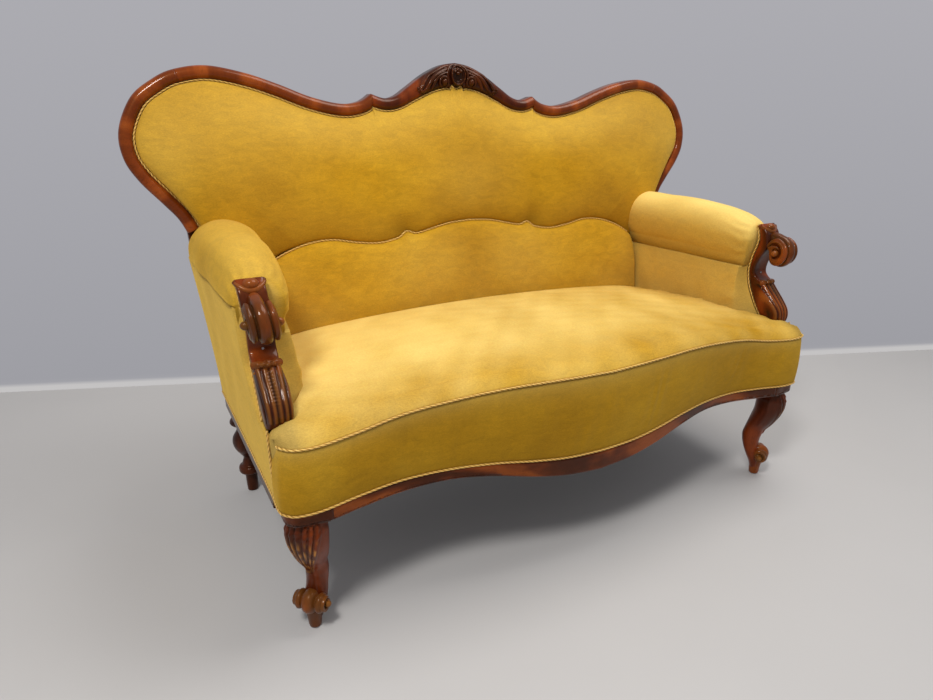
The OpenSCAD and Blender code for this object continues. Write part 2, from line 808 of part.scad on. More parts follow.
// Seat: webbing on the rails, springs, hessian, stuffed cover and the band on the front rail
web_w = 50;
long_web_count = 5;
cross_web_count = 3;
leg_block_x = front_at(block_from, seat_rail_t)[0];
well_rear_y = plane_y(frame_low_z) - gap;
function well_x(y) = side_x(y) - seat_rail_t - gap;
well_half = concat(
    [for (i = [len(front_half) - 1 : block_from - 1]) front_at(i, seat_rail_t + gap)],
    [
        [leg_block_x, front_at(block_from, seat_rail_t + gap)[1]],
        [leg_block_x, block_rear_y + gap],
        [well_x(block_rear_y), block_rear_y + gap],
        [well_x(well_rear_y), well_rear_y]
    ]
);
well_front_y = max([for (q = well_half) q[0] < leg_block_x ? q[1] : seam_y - block_d]);
module well_outline() {
    polygon(concat(reversed(flip_x([for (i = [1 : len(well_half) - 1]) well_half[i]])), well_half));
}
module seat_webbing() {
    pitch_x = 2 * well_x(well_front_y) / (long_web_count + 1);
    pitch_y = (well_rear_y - well_front_y) / (cross_web_count + 1);
    color("#b79a64")
        translate([0, 0, webbing_z])
            linear_extrude(webbing_t)
                intersection() {
                    well_outline();
                    union() {
                        for (i = [1 : long_web_count])
                            translate([i * pitch_x - well_x(well_front_y) - web_w / 2, -overall_d / 2])
                                square([web_w, overall_d]);
                        for (i = [1 : cross_web_count])
                            translate([-half_w, well_front_y + i * pitch_y - web_w / 2])
                                square([overall_w, web_w]);
                    }
                }
}

hessian_t = 1.2;
hessian_z = front_rail_top + gap;
cushion_low = hessian_z + hessian_t + gap;
seat_back_y = plane_y(seat_rear_h) - lumbar_crown;
spring_turn_count = 3;
spring_steps = 8;
spring_r = 48;
spring_waist = 0.62;
spring_flare = 1.5;
hessian_skip_count = 6;
spring_column_count = 6;
spring_row_count = 2;
module spring(tall) {
    count = spring_turn_count * spring_steps;
    route = [
        for (i = [0 : count])
            let (t = i / count, r = spring_r * mix(spring_waist, 1, pow(abs(2 * t - 1), spring_flare)))
                [r * cos(360 * i / spring_steps), r * sin(360 * i / spring_steps), tall * t]
    ];
    cord(route, spring_wire_d, [0, 0, 1], 4);
}
module seat_springs() {
    low = webbing_top + gap + spring_wire_d / 2;
    tall = hessian_z - gap - spring_wire_d / 2 - low;
    pitch_x = 2 * (half_seat - seat_rail_t) / spring_column_count;
    pitch_y = (well_rear_y - well_front_y) / spring_row_count;
    color("#7d7f83")
        for (i = [0 : spring_column_count - 1], j = [0 : spring_row_count - 1])
            translate([
                (i + 0.5 - spring_column_count / 2) * pitch_x,
                well_front_y + (j + 0.5) * pitch_y,
                low
            ])
                spring(tall);
}

// Inner face of the arms, which the seat meets
crease = 2;
function arm_x(y) =
    half_seat * lookup_pair(arm_inner_shares, clamp((seat_back_y - y) / (seat_back_y - facing_y), 0, 1));
seat_drawn = 10;
seat_roll = 16;
seat_roll_reach = 26;
seat_crown = 10;
seat_rows = [for (r = arm_inner_shares) r[0]];
seat_low_y = plane_y(cushion_low) - lumbar_crown;
seat_row_back = 8;
facing_power = 8;
drawn_power = 10;
function seat_column(j) =
    let (
        share = front_line[j][0] / half_seat,
        edge = seat_xy(j, 0),
        inner = front_at(j, band_t),
        first_y = mix(inner[1] + seat_row_back, facing_y, pow(abs(share), facing_power)),
        rear_z = seat_rear_h - seat_side_drop * pow(abs(share), 2),
        back_y = plane_y(rear_z - seat_drawn * pow(abs(share), drawn_power)) - lumbar_crown
    )
        [
            for (v = seat_rows)
                let (
                    y = mix(back_y, first_y, v),
                    x = share * (arm_x(mix(seat_back_y, facing_y, v)) - crease)
                )
                    [
                        x, y, seat_top(share, rear_z, front_line[j][4], y, edge[1]), cushion_low,
                        mix(seat_low_y, first_y, v)
                    ],
            [
                inner[0], inner[1], seat_top(share, rear_z, front_line[j][4], inner[1], edge[1]),
                cushion_low, inner[1]
            ],
            let (x = mix(edge[0], inner[0], 0.5), y = mix(edge[1], inner[1], 0.5))
                [
                    x, y, seat_top(share, rear_z, front_line[j][4], y, edge[1]),
                    mix(front_line[j][4] + seam, cushion_low, 0.5), y
                ],
            [edge[0], edge[1], front_line[j][4] + seam + piping_r, front_line[j][4] + seam, edge[1]]
        ];
function seat_top(share, rear_z, edge_z, y, edge_y) =
    let (
        d = y - edge_y,
        t = clamp(d / (seat_back_y - edge_y), 0, 1),
        roll = seat_roll * (1 - exp(-d / seat_roll_reach)),
        crown = seat_crown * sin(180 * t) - seat_drawn * pow(abs(share), drawn_power) * t
    )
        mix(edge_z + seam, rear_z, 1 - pow(1 - t, 3)) + roll * (1 - t * t) + crown;
module seat_cushion() {
    columns = [for (j = [seat_skip_count : seat_to]) seat_column(j)];
    color("#c99a2e")
        slab(
            [for (c = columns) [for (p = c) [p[0], p[1], p[2]]]],
            [for (c = columns) [for (p = c) [p[0], p[4], p[3]]]]
        );
}
module seat_hessian() {
    front = [for (i = [hessian_skip_count : front_count - 1 - hessian_skip_count]) front_at(i, band_t + gap)];
    side = [
        [arm_x(facing_y) - gap, facing_y],
        [arm_x(seat_back_y) - gap, seat_back_y],
        [lumbar_half_w, plane_y(hessian_z) - gap]
    ];
    color("#a98f5c")
        translate([0, 0, hessian_z])
            linear_extrude(hessian_t)
                polygon(concat(front, side, reversed(flip_x(side))));
}
band_bulge = 5;
band_rows = [0, 0.35, 0.7, 1];
module front_band() {
    color("#b8862a")
        slab(
            [
                for (i = [0 : front_count - 1])
                    [
                        for (v = band_rows)
                            let (
                                q = front_at(i, -band_bulge * sin(180 * v)),
                                z = mix(front_line[i][3] + seam, front_line[i][4] - seam, v)
                            )
                                [q[0], q[1] - v * front_line[i][5], z]
                    ]
            ],
            [
                for (i = [0 : front_count - 1])
                    [
                        for (v = band_rows)
                            let (q = front_at(i, band_t))
                                [q[0], q[1], mix(front_line[i][3] + seam, front_rail_top, v)]
                    ]
            ]
        );
}
module dust_cover() {
    color("#2f2b28") translate([0, 0, cover_z]) linear_extrude(cover_t) well_outline();
}

// Back: a fan of lines from the lumbar seam out to the inner edge of the rail
web_t = 1.5;
hessian_front = 2 * gap + web_t + hessian_t;
pad_rear = hessian_front + gap;
lumbar_half_w = lumbar_shares[len(lumbar_shares) - 1][0] * half_seat;
lumbar_line = curve([for (s = lumbar_shares) [s[0] * half_seat, s[1] * overall_h]], 2);
foot_line = moved_left(
    curve([for (s = concat(lumbar_shares, pad_foot_shares)) [s[0] * half_seat, s[1] * overall_h]], 2),
    seam
);
function at_share(p, s) =
    let (t = s * (len(p) - 1), i = min(floor(t), len(p) - 2)) mix(p[i], p[i + 1], t - i);
function rim_line(reach) = concat(
    [
        for (i = [0 : len(crest_line) - 1])
            crest_line[i] + (crest_width(i) + reach) * crest_across(i)
    ],
    [for (i = [1 : len(rail_line) - 1]) rail_line[i] + (rail_w + reach) * rail_across(i)]
);
pad_rim = rim_line(piping_d + 3 * gap);
pad_count = len(pad_rim);
function back_point(q, ahead) = [q[0], plane_y(q[1]) - ahead, q[1]];
function mirrored_grid(half) = concat(
    reversed([for (i = [1 : len(half) - 1]) [for (q = half[i]) [-q[0], q[1], q[2]]]]), half
);
pad_rim_t = 7;
pad_foot_t = 24;
pad_rows = [0, 0.06, 0.2, 0.4, 0.62, 0.84, 1];
wing_share = 0.72;
wing_flat_share = 0.8;
foot_fall = 0.7;
pad_lift = 0.8;
function pad_ahead(s, v) =
    let (
        side = clamp((s - wing_share) / (1 - wing_share), 0, 1),
        foot = mix(lumbar_edge_t - seam, pad_foot_t, pow(side, foot_fall)),
        bulge = (back_crown - mix(foot, pad_rim_t, 0.5)) * (1 - wing_flat_share * side)
    )
        mix(foot, pad_rim_t, v) + bulge * pow(sin(180 * pow(v, pad_lift)), pad_lift);
module back_pad() {
    function half_grid(front) = [
        for (i = [0 : pad_count - 1])
            let (s = i / (pad_count - 1), a = at_share(foot_line, s), b = pad_rim[i])
                [for (v = pad_rows) back_point(mix(a, b, v), front ? pad_ahead(s, v) : pad_rear)]
    ];
    color("#c2922b") slab(mirrored_grid(half_grid(true)), mirrored_grid(half_grid(false)));
}
lumbar_rows = [0, 0.3, 0.5, 0.7, 0.85, 0.94, 1];
lumbar_low = cushion_low + gap;
module lumbar_pad() {
    upper = moved_left(lumbar_line, -seam);
    function half_grid(front) = [
        for (q = upper)
            [
                for (w = lumbar_rows)
                    let (fullness = sqrt(max(0, 1 - pow(w, 4))))
                        back_point(
                            [q[0], mix(lumbar_low, q[1], w)],
                            front ? mix(lumbar_edge_t, lumbar_crown - gap, fullness) : pad_rear
                        )
            ]
    ];
    color("#b8862a") slab(mirrored_grid(half_grid(true)), mirrored_grid(half_grid(false)));
}
hessian_lap = 1.2;
// A flat sheet that fills the back frame, from its lower edge up to the rim
module back_sheet(foot, rim, ahead, thick) {
    function in_plane(p) = [for (q = p) [q[0], q[1] / cos(back_lean) - ahead * sin(back_lean)]];
    half = in_plane(concat(foot, reversed(rim)));
    translate([0, back_y0, 0])
        rotate([90 - back_lean, 0, 0])
            translate([0, 0, (ahead - thick) * cos(back_lean)])
                linear_extrude(thick * cos(back_lean))
                    polygon(concat(half, reversed(flip_x([for (i = [0 : len(half) - 2]) half[i]]))));
}
module back_hessian() {
    color("#a98f5c")
        back_sheet(
            [[post_inner_x(lumbar_low) - gap, lumbar_low], foot_line[len(foot_line) - 1]],
            rim_line(rebate_w - hessian_lap), hessian_front, hessian_t
        );
}
outside_t = 2;
outside_rim = 8;
outside_widen = 1.06;
module outside_back() {
    foot = foot_line[len(foot_line) - 1];
    color("#a07a26")
        back_sheet(
            [[frame_rear_w / 2 - panel_t, side_rail_top], [outside_widen * foot[0], foot[1]]],
            rim_line(outside_rim - rail_w), -rail_back_t - gap, outside_t
        );
}

// Webbing of the back: straps from the lower rail up to the rebate of the rim
strap_steps = [5, 15, 19, 23];
strap_w = 40;
strap_lean = 0.9;
strap_lap = 2;
module back_webbing() {
    rim = rim_line(rebate_w - strap_lap);
    function strap_ring(p, t, ahead) = [
        for (q = [p - strap_w / 2 * t, p + strap_w / 2 * t]) back_point(q, ahead)
    ];
    function strap_end(p, t) = concat(strap_ring(p, t, gap + web_t), reversed(strap_ring(p, t, gap)));
    color("#b79a64")
        for (side = [-1, 1], k = strap_steps)
            on_side(side)
                loft([
                    strap_end([strap_lean * rim[k][0], low_rail_z + low_rail_h / 2], [1, 0]),
                    strap_end(rim[k], along(rim, k))
                ]);
}

// Soft parts of the arms
roll_rings = [0, 0.05, 0.15, 0.35, 0.6, 0.85, 1];
roll_front_reach = 250;
roll_full_y = plane_y(arm_seam_h) - roll_front_reach;
roll_steps = 14;
roll_from = 215;
roll_mid_share = 0.46;
roll_proud = 3;
roll_tuck = 12;
roll_draw = 14;
roll_back_share = 0.85;
roll_front_share = 0.86;
roll_rear_share = 0.95;
roll_post_share = 1.2;
crease_share = 0.318;
crease_z = arm_seam_h + crease_share * arm_roll_h;
post_reach = 20;
function roll_top(y) =
    arm_top - arm_front_drop * pow(clamp((roll_full_y - y) / (roll_full_y - stump_y), 0, 1), 2);
roll_pad_t = 18;
wing_foot_reach = 25;
function roll_ahead(x, z) =
    let (
        pad_x = pad_rim[pad_count - 1][0],
        inner_x = arm_x(seat_back_y),
        behind_pad = clamp((x - inner_x) / (pad_x - inner_x), 0, 1),
        behind_post = clamp((x - pad_x) / post_reach, 0, 1),
        behind_wing = clamp(1 + (z - rail_line[wing_end][1]) / wing_foot_reach, 0, 1)
    )
        mix(
            mix(roll_back_share * lumbar_crown, pad_foot_t + roll_pad_t, behind_pad),
            gap + roll_post_share * rail_round * behind_wing,
            behind_post
        );
function roll_ring(v) =
    let (
        y0 = mix(stump_y, plane_y(arm_seam_h), v),
        inner = arm_x(y0) + mix(roll_draw, 0, sqrt(v)),
        outer = outer_x(y0, side_top_z) + roll_proud,
        low = arm_seam_h + gap,
        high = roll_top(y0),
        mid = mix(low, high, roll_mid_share),
        full = v == 0 ? roll_front_share : v == 1 ? roll_rear_share : 1,
        last = -asin((mid - crease_z - gap) / (mid - low)),
        arc = [
            for (k = [0 : roll_steps])
                let (
                    a = mix(roll_from, last, k / roll_steps),
                    up = squared(sin(a)),
                    lowest = a > 90 ? low : crease_z + gap
                )
                    [
                        mix(inner, outer, 0.5) + full * (outer - inner) / 2 * squared(cos(a)),
                        max(mid + full * up * (up > 0 ? high - mid : mid - low), lowest)
                    ]
        ],
        outline = concat(
            [[inner + roll_tuck, low]],
            arc,
            [[frame_x(y0, crease_z), crease_z + gap], [frame_x(y0, low), low]]
        )
    )
        [for (q = outline) [q[0], mix(behind_y(q[1]), plane_y(q[1]) - roll_ahead(q[0], q[1]), v), q[1]]];
module arm_roll(side) {
    color("#cfa23a") on_side(side) loft([for (v = roll_rings) roll_ring(v)]);
}
inside_rings = [0, 0.06, 0.1, 0.3, 0.55, 0.8, 1];
inside_levels = [0, 0.3, 0.6, 0.85, 1];
inside_draw = 14;
narrow_reach = 6;
narrow_y = facing_y + facing_d + piping_d + narrow_reach;
module inside_arm(side) {
    high = arm_seam_h - gap;
    function x_in(y, t) = arm_x(y) + crease + inside_draw * pow(t, 3);
    function x_out(y) =
        y <= narrow_y
            ? facing_inner_x - gap
            : min(frame_x(y, side_rail_top), facing_inner_x + facing_w - piping_d - 2 * gap) - stump_w - gap;
    function ring_y(v, z) =
        v <= inside_rings[1]
            ? mix(behind_y(z), narrow_y, v / inside_rings[1])
            : mix(narrow_y + crease, plane_y(z) - pad_rear, (v - inside_rings[2]) / (1 - inside_rings[2]));
    function ring(v) = concat(
        [
            for (t = inside_levels)
                let (z = mix(low_arm_rail_z, high, t), y = ring_y(v, z))
                    [v == 0 ? facing_inner_x - crease : x_in(y, t), y, z]
        ],
        [
            for (t = [1, 0.5, 0])
                let (z = mix(low_arm_rail_z, high, t), y = ring_y(v, z)) [x_out(y), y, z]
        ]
    );
    color("#c99a2e") on_side(side) loft([for (v = inside_rings) ring(v)]);
}
panel_places = [0, 0.15, 0.5, 1];
module outside_arm(side) {
    low = corner_band_h + seam;
    levels = concat(
        [
            [low, seam_y + gap],
            [mix(low, facing_foot, 0.5), seam_y + gap],
            [facing_foot - piping_r - gap, seam_y + gap],
            [facing_foot - piping_r, behind_cord[0][1]]
        ],
        [for (q = behind_cord) if (q[0] > facing_foot && q[0] < crease_z - gap) q],
        [[crease_z, behind_y(crease_z)]]
    );
    function grid(inset) = [
        for (v = panel_places)
            [
                for (q = levels)
                    let (z = q[0], y = mix(q[1], plane_y(z) + rail_back_t, v)) [outer_x(y, z) - inset, y, z]
            ]
    ];
    color("#b98c2c") on_side(side) slab(grid(0), grid(panel_t));
}

// Twisted cord piping
module seat_piping() {
    color("#e3c67c")
        cord(
            [
                for (i = [seat_skip_count : seat_to])
                    let (q = seat_xy(i, -piping_proud)) [q[0], q[1], front_line[i][4]]
            ],
            piping_d, [0, 0, 1]
        );
}
side_stations = [1, 0.66, 0.33, 0.04];
module frame_piping() {
    side_route = [
        for (v = side_stations)
            let (y = mix(seam_y, rear_y, v)) [side_x(y) + join, y, corner_band_h]
    ];
    front_route = [
        for (i = [0 : front_count - 1])
            let (q = front_at(i, -join)) [q[0], q[1], front_line[i][3]]
    ];
    color("#e3c67c")
        cord(concat(flip_x(side_route), front_route, reversed(side_route)), piping_d, [0, 0, 1]);
}
module back_piping(side) {
    rim = rim_line(seam);
    route = [for (i = [0 : len(rim) - 1]) back_point(rim[i] + (i == 0 ? [2 * gap, 0] : [0, 0]), seam)];
    color("#e3c67c") on_side(side) cord(route, piping_d, [0, 1, 0]);
}
module lumbar_piping() {
    half = [for (q = lumbar_line) back_point(q, lumbar_edge_t - piping_r)];
    color("#e3c67c") cord(both_sides(half), piping_d, [0, 1, 0]);
}
module facing_piping(side) {
    color("#e3c67c")
        on_side(side)
            for (x = [facing_inner_x + piping_r, facing_inner_x + facing_w - piping_r])
                cord([for (q = rear_line(seam)) [x, q[0], q[1]]], piping_d, [1, 0, 0]);
}

front_rail();
side_rail(-1);  // side_rail_left
side_rail(1);  // side_rail_right
rear_rail();
centre_rail();
corner_blocks();
front_leg(-1);  // front_leg_left
front_leg(1);  // front_leg_right
rear_leg(-1);  // rear_leg_left
rear_leg(1);  // rear_leg_right
back_post(-1);  // back_post_left
back_post(1);  // back_post_right
lower_back_rail();
centre_stile();
wing_rail(-1);  // wing_rail_left
wing_rail(1);  // wing_rail_right
top_rail(-1);  // top_rail_left
top_rail(1);  // top_rail_right
crest_rail();
crest_carving();
arm_stump(-1);  // arm_stump_left
arm_stump(1);  // arm_stump_right
arm_top_rail(-1);  // arm_top_rail_left
arm_top_rail(1);  // arm_top_rail_right
arm_low_rail(-1);  // arm_low_rail_left
arm_low_rail(1);  // arm_low_rail_right
arm_facing(-1);  // arm_facing_left
arm_facing(1);  // arm_facing_right
facing_screws();
seat_webbing();
seat_springs();
seat_hessian();
seat_cushion();
front_band();
dust_cover();
back_webbing();
back_hessian();
back_pad();
lumbar_pad();
outside_back();
arm_roll(-1);  // arm_roll_left
arm_roll(1);  // arm_roll_right
inside_arm(-1);  // inside_arm_left
inside_arm(1);  // inside_arm_right
outside_arm(-1);  // outside_arm_left
outside_arm(1);  // outside_arm_right
seat_piping();
frame_piping();
back_piping(-1);  // back_piping_left
back_piping(1);  // back_piping_right
lumbar_piping();
facing_piping(-1);  // facing_piping_left
facing_piping(1);  // facing_piping_right
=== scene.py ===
# %% [markdown]
# # A show-wood sofa with a shaped back
#
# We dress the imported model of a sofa: a carved and polished frame, velvet over stuffing, and a
# twisted cord along every seam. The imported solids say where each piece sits. Each soft or carved
# piece is worked out here again as a finer surface, and stands for its solid.

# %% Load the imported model
import bpy, bmesh, math
import numpy as np
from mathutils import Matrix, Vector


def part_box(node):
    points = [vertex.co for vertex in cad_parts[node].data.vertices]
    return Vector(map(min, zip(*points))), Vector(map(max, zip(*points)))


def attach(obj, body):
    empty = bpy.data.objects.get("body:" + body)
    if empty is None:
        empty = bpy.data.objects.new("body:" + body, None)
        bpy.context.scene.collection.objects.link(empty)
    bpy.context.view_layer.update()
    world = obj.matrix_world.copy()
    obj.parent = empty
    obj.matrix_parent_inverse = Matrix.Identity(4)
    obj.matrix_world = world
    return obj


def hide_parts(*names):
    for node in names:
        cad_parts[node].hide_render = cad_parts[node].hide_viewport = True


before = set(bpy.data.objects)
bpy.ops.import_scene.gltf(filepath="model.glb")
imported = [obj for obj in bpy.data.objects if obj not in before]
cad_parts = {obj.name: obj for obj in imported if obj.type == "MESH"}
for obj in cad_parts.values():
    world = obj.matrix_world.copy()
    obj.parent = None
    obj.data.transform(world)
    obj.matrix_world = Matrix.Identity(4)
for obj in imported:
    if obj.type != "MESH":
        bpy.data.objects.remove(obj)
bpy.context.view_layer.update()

# %% [markdown]
# ## Curves
#
# An upholsterer works from templates: the line of the seat front, the line of the back rail, the
# seam of the lower back pad. Each template is a short table of points, and a smooth curve is drawn
# through them. All the sizes are in millimetres, and only the mesh helper turns them into metres.

# %% Curve helpers
def curve(points, steps=12):
    """Smooth curve through all the points. Between two points it is a cubic whose slope at each
    point is half the step from the point before to the point after."""
    p = np.atleast_2d(np.asarray(points, float).T).T
    q = np.vstack([p[:1], p, p[-1:]])
    a, b, c, d = (v[:, None] for v in (q[:-3], q[1:-2], q[2:-1], q[3:]))
    t = (np.arange(steps) / steps)[None, :, None]
    between = (2 * b + (c - a) * t + (2 * a - 5 * b + 4 * c - d) * t**2 + (3 * b - a - 3 * c + d) * t**3) / 2
    return np.vstack([between.reshape(-1, p.shape[1]), p[-1:]])


def even(line, count, lead=None):
    """The same line with points at equal distances, measured on its first lead columns."""
    part = line[:, :lead] if lead else line
    s = np.r_[0, np.cumsum(np.linalg.norm(np.diff(part, axis=0), axis=1))]
    at = np.linspace(0, s[-1], count)
    return np.stack([np.interp(at, s, line[:, k]) for k in range(line.shape[1])], 1)


def unit(v):
    """Vectors of length one."""
    return v / np.maximum(np.linalg.norm(v, axis=-1, keepdims=True), 1e-9)


def mix(a, b, t):
    """From a to b as t goes from 0 to 1."""
    return a + (b - a) * t


def smooth(t):
    """Slow start and slow end between 0 and 1."""
    t = np.clip(t, 0, 1)
    return t * t * (3 - 2 * t)


def both_sides(half):
    """A half line that starts on the middle, with its mirror image put before it."""
    left = half[:0:-1].copy()
    left[:, 0] *= -1
    return np.vstack([left, half])


def ripple(x, y, seed, size):
    """Gentle random unevenness: a sum of sine waves in fixed directions, about one high."""
    count = 7
    rng = np.random.default_rng(seed)
    angle, phase = rng.uniform(0, math.tau, (2, count))
    wave = size * rng.uniform(0.6, 1.7, count)
    return sum(
        np.sin((x * math.cos(a) + y * math.sin(a)) / w * math.tau + f)
        for a, f, w in zip(angle, phase, wave)
    ) / math.sqrt(count)


print("curve helpers ready")

# %% [markdown]
# ## From a grid of points to a mesh
#
# Every surface here is a grid: one parameter runs along the piece and one across it. The helper
# below joins the grid into faces, turns them outwards, and keeps a UV map measured in metres, so
# that the pile of the velvet and the grain of the wood can follow the piece.

# %% Mesh helper
MM = 0.001


def faces_of(m, n, wrap_v=False, start=0):
    """Quads of an m by n grid, numbered row by row."""
    i = np.arange(m - 1)[:, None]
    j = np.arange(n if wrap_v else n - 1)[None, :]
    j2 = (j + 1) % n
    quads = np.stack([i * n + j, (i + 1) * n + j, (i + 1) * n + j2, i * n + j2], -1)
    return quads.reshape(-1, 4) + start


def make_piece(name, points, quads, tris, uv, values):
    """A mesh from millimetre points, with doubled points merged and the faces turned outwards.
    values are named numbers that the mesh carries, one for each point."""
    faces = quads.tolist() + (tris.tolist() if tris is not None else [])
    mesh = bpy.data.meshes.new(name)
    mesh.from_pydata((np.asarray(points) * MM).tolist(), [], faces)
    loops = np.zeros(len(mesh.loops), np.int32)
    mesh.loops.foreach_get("vertex_index", loops)
    layer = mesh.uv_layers.new(name="UVMap")
    layer.data.foreach_set("uv", uv[loops].astype(np.float32).ravel())
    for label, numbers in (values or {}).items():
        data = mesh.attributes.new(label, "FLOAT", "POINT").data
        data.foreach_set("value", np.clip(np.ravel(numbers), 0, 1).astype(np.float32))
    work = bmesh.new()
    work.from_mesh(mesh)
    bmesh.ops.remove_doubles(work, verts=work.verts, dist=2e-5)
    bmesh.ops.recalc_face_normals(work, faces=work.faces)
    work.to_mesh(mesh)
    work.free()
    mesh.polygons.foreach_set("use_smooth", np.full(len(mesh.polygons), True))
    piece = bpy.data.objects.new(name, mesh)
    bpy.context.scene.collection.objects.link(piece)
    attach(piece, "root")
    return piece


print("mesh helper ready")


# %% Grids and closed solids
def grid_uv(grid):
    """Distances along both directions of the grid, in metres."""
    along = np.cumsum(np.r_[0, np.linalg.norm(np.diff(grid, axis=0), axis=2).mean(1)])
    across = np.cumsum(np.r_[0, np.linalg.norm(np.diff(grid, axis=1), axis=2).mean(0)])
    u, v = np.meshgrid(along, across, indexing="ij")
    return np.stack([u, v], -1).reshape(-1, 2) * MM


def slab(top, bottom):
    """Points, quads, no triangles, and UVs of the closed solid between two equal grids."""
    m, n = top.shape[:2]
    total = m * n
    number = np.arange(total).reshape(m, n)
    rim = np.r_[number[0, :-1], number[:-1, -1], number[-1, :0:-1], number[:0:-1, 0]]
    after = np.roll(rim, -1)
    sides = np.stack([rim, after, after + total, rim + total], -1)
    points = np.vstack([top.reshape(-1, 3), bottom.reshape(-1, 3)])
    quads = np.vstack([faces_of(m, n), faces_of(m, n, start=total), sides])
    uv = grid_uv(top)
    return points, quads, None, np.vstack([uv, uv])


def tube(rings):
    """Points, quads, end triangles and UVs of a closed loft through equal rings. Each end is closed
    by triangles round its middle point."""
    m, n = rings.shape[:2]
    points = np.vstack([rings.reshape(-1, 3), rings[0].mean(0), rings[-1].mean(0)])
    k, last = np.arange(n), (m - 1) * n
    k2 = (k + 1) % n
    tris = np.vstack([
        np.stack([k, k2, np.full(n, m * n)], -1),
        np.stack([k + last, k2 + last, np.full(n, m * n + 1)], -1),
    ])
    uv = grid_uv(rings)
    return points, faces_of(m, n, wrap_v=True), tris, np.vstack([uv, uv[:1], uv[-1:]])


def merged(parts):
    """Several (points, quads, tris, uv) put into one."""
    points, quads, tris, uvs = zip(*parts)
    starts = np.cumsum([0] + [len(p) for p in points[:-1]])
    return (
        np.vstack(points), np.vstack([q + start for q, start in zip(quads, starts)]),
        np.vstack([t + start for t, start in zip(tris, starts)]), np.vstack(uvs),
    )


SIDES = ((-1, "left"), (1, "right"))


def on_side(points, side):
    """Points of the right half as they are, or mirrored to the left where side is -1."""
    return points * np.array([side, 1.0, 1.0])


def dress(node, surface, material, values=None):
    """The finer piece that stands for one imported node, with its finish."""
    piece = make_piece(f"{node}_dress", *surface, values)
    piece.data.materials.append(material)
    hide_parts(node)
    return piece


print("helpers for grids, solids and dressed pieces ready")

# %% [markdown]
# ## Velvet
#
# Cut velvet is short upright pile on a woven ground. It looks dark where we look down into the
# pile and pale where light grazes it, so the shader gets a strong sheen, and its colour changes in
# soft patches where hands and backs have stroked the pile to and fro. A fine noise in the bump
# gives the broken light of single tufts. Each piece also paints shade into its creases, recesses
# and undersides, and paints its pile pale where it is worn and where light falls on its tops.

# %% Material helper
def new_material(name, **settings):
    """A material with its main shader, and the sockets named in settings set directly."""
    material = bpy.data.materials.new(name)
    material.use_nodes = True
    shader = material.node_tree.nodes["Principled BSDF"]
    for socket, value in settings.items():
        shader.inputs[socket.replace("_", " ")].default_value = value
    return material, material.node_tree, shader


def linear(red, green, blue):
    """A colour as a screen shows it, 0 to 255, as the linear value that a shader takes."""
    share = np.array([red, green, blue]) / 255
    value = np.where(share <= 0.04045, share / 12.92, ((share + 0.055) / 1.055) ** 2.4)
    return (*value.tolist(), 1.0)


def add_node(tree, kind, inputs=None, **settings):
    """A node with its settings and its unlinked inputs."""
    node = tree.nodes.new(kind)
    for key, value in settings.items():
        setattr(node, key, value)
    for key, value in (inputs or {}).items():
        node.inputs[key].default_value = value
    return node


print("material helpers ready")


# %% Pattern helpers
def noise(tree, where, scale, detail=4.0, roughness=0.55, distortion=0.0, stretch=(1, 1, 1)):
    """Noise on the object's own coordinates or on its UV map, stretched by stretch."""
    source = add_node(tree, "ShaderNodeTexCoord")
    mapping = add_node(tree, "ShaderNodeMapping", {"Scale": stretch})
    node = add_node(
        tree, "ShaderNodeTexNoise",
        {"Scale": scale, "Detail": detail, "Roughness": roughness, "Distortion": distortion},
    )
    tree.links.new(source.outputs[where], mapping.inputs["Vector"])
    tree.links.new(mapping.outputs["Vector"], node.inputs["Vector"])
    return node.outputs["Fac"]


def ramp(tree, value, stops):
    """Colours or levels by value: stops are (place, colour)."""
    node = add_node(tree, "ShaderNodeValToRGB")
    while len(node.color_ramp.elements) < len(stops):
        node.color_ramp.elements.new(0.5)
    for element, (place, colour) in zip(node.color_ramp.elements, stops):
        element.position = place
        element.color = colour if hasattr(colour, "__len__") else (colour, colour, colour, 1)
    tree.links.new(value, node.inputs["Fac"])
    return node.outputs["Color"]


def blend(tree, share, first, second, mode="MIX"):
    """Mix of two colours; each may be a socket or a colour."""
    node = add_node(tree, "ShaderNodeMix", data_type="RGBA", blend_type=mode)
    for socket, value in ((node.inputs[0], share), (node.inputs[6], first), (node.inputs[7], second)):
        if isinstance(value, bpy.types.NodeSocket):
            tree.links.new(value, socket)
        else:
            socket.default_value = value
    return node.outputs[2]


def attribute(tree, name):
    """The value that a piece's own mesh carries under this name."""
    return add_node(tree, "ShaderNodeAttribute", attribute_name=name).outputs["Fac"]


def bump(tree, shader, height, strength, distance, under=None):
    """Relief from a height, laid over another relief where one is given."""
    node = add_node(tree, "ShaderNodeBump", {"Strength": strength, "Distance": distance})
    tree.links.new(height, node.inputs["Height"])
    if under is not None:
        tree.links.new(under, node.inputs["Normal"])
    tree.links.new(node.outputs["Normal"], shader.inputs["Normal"])
    return node.outputs["Normal"]


print("pattern helpers ready")


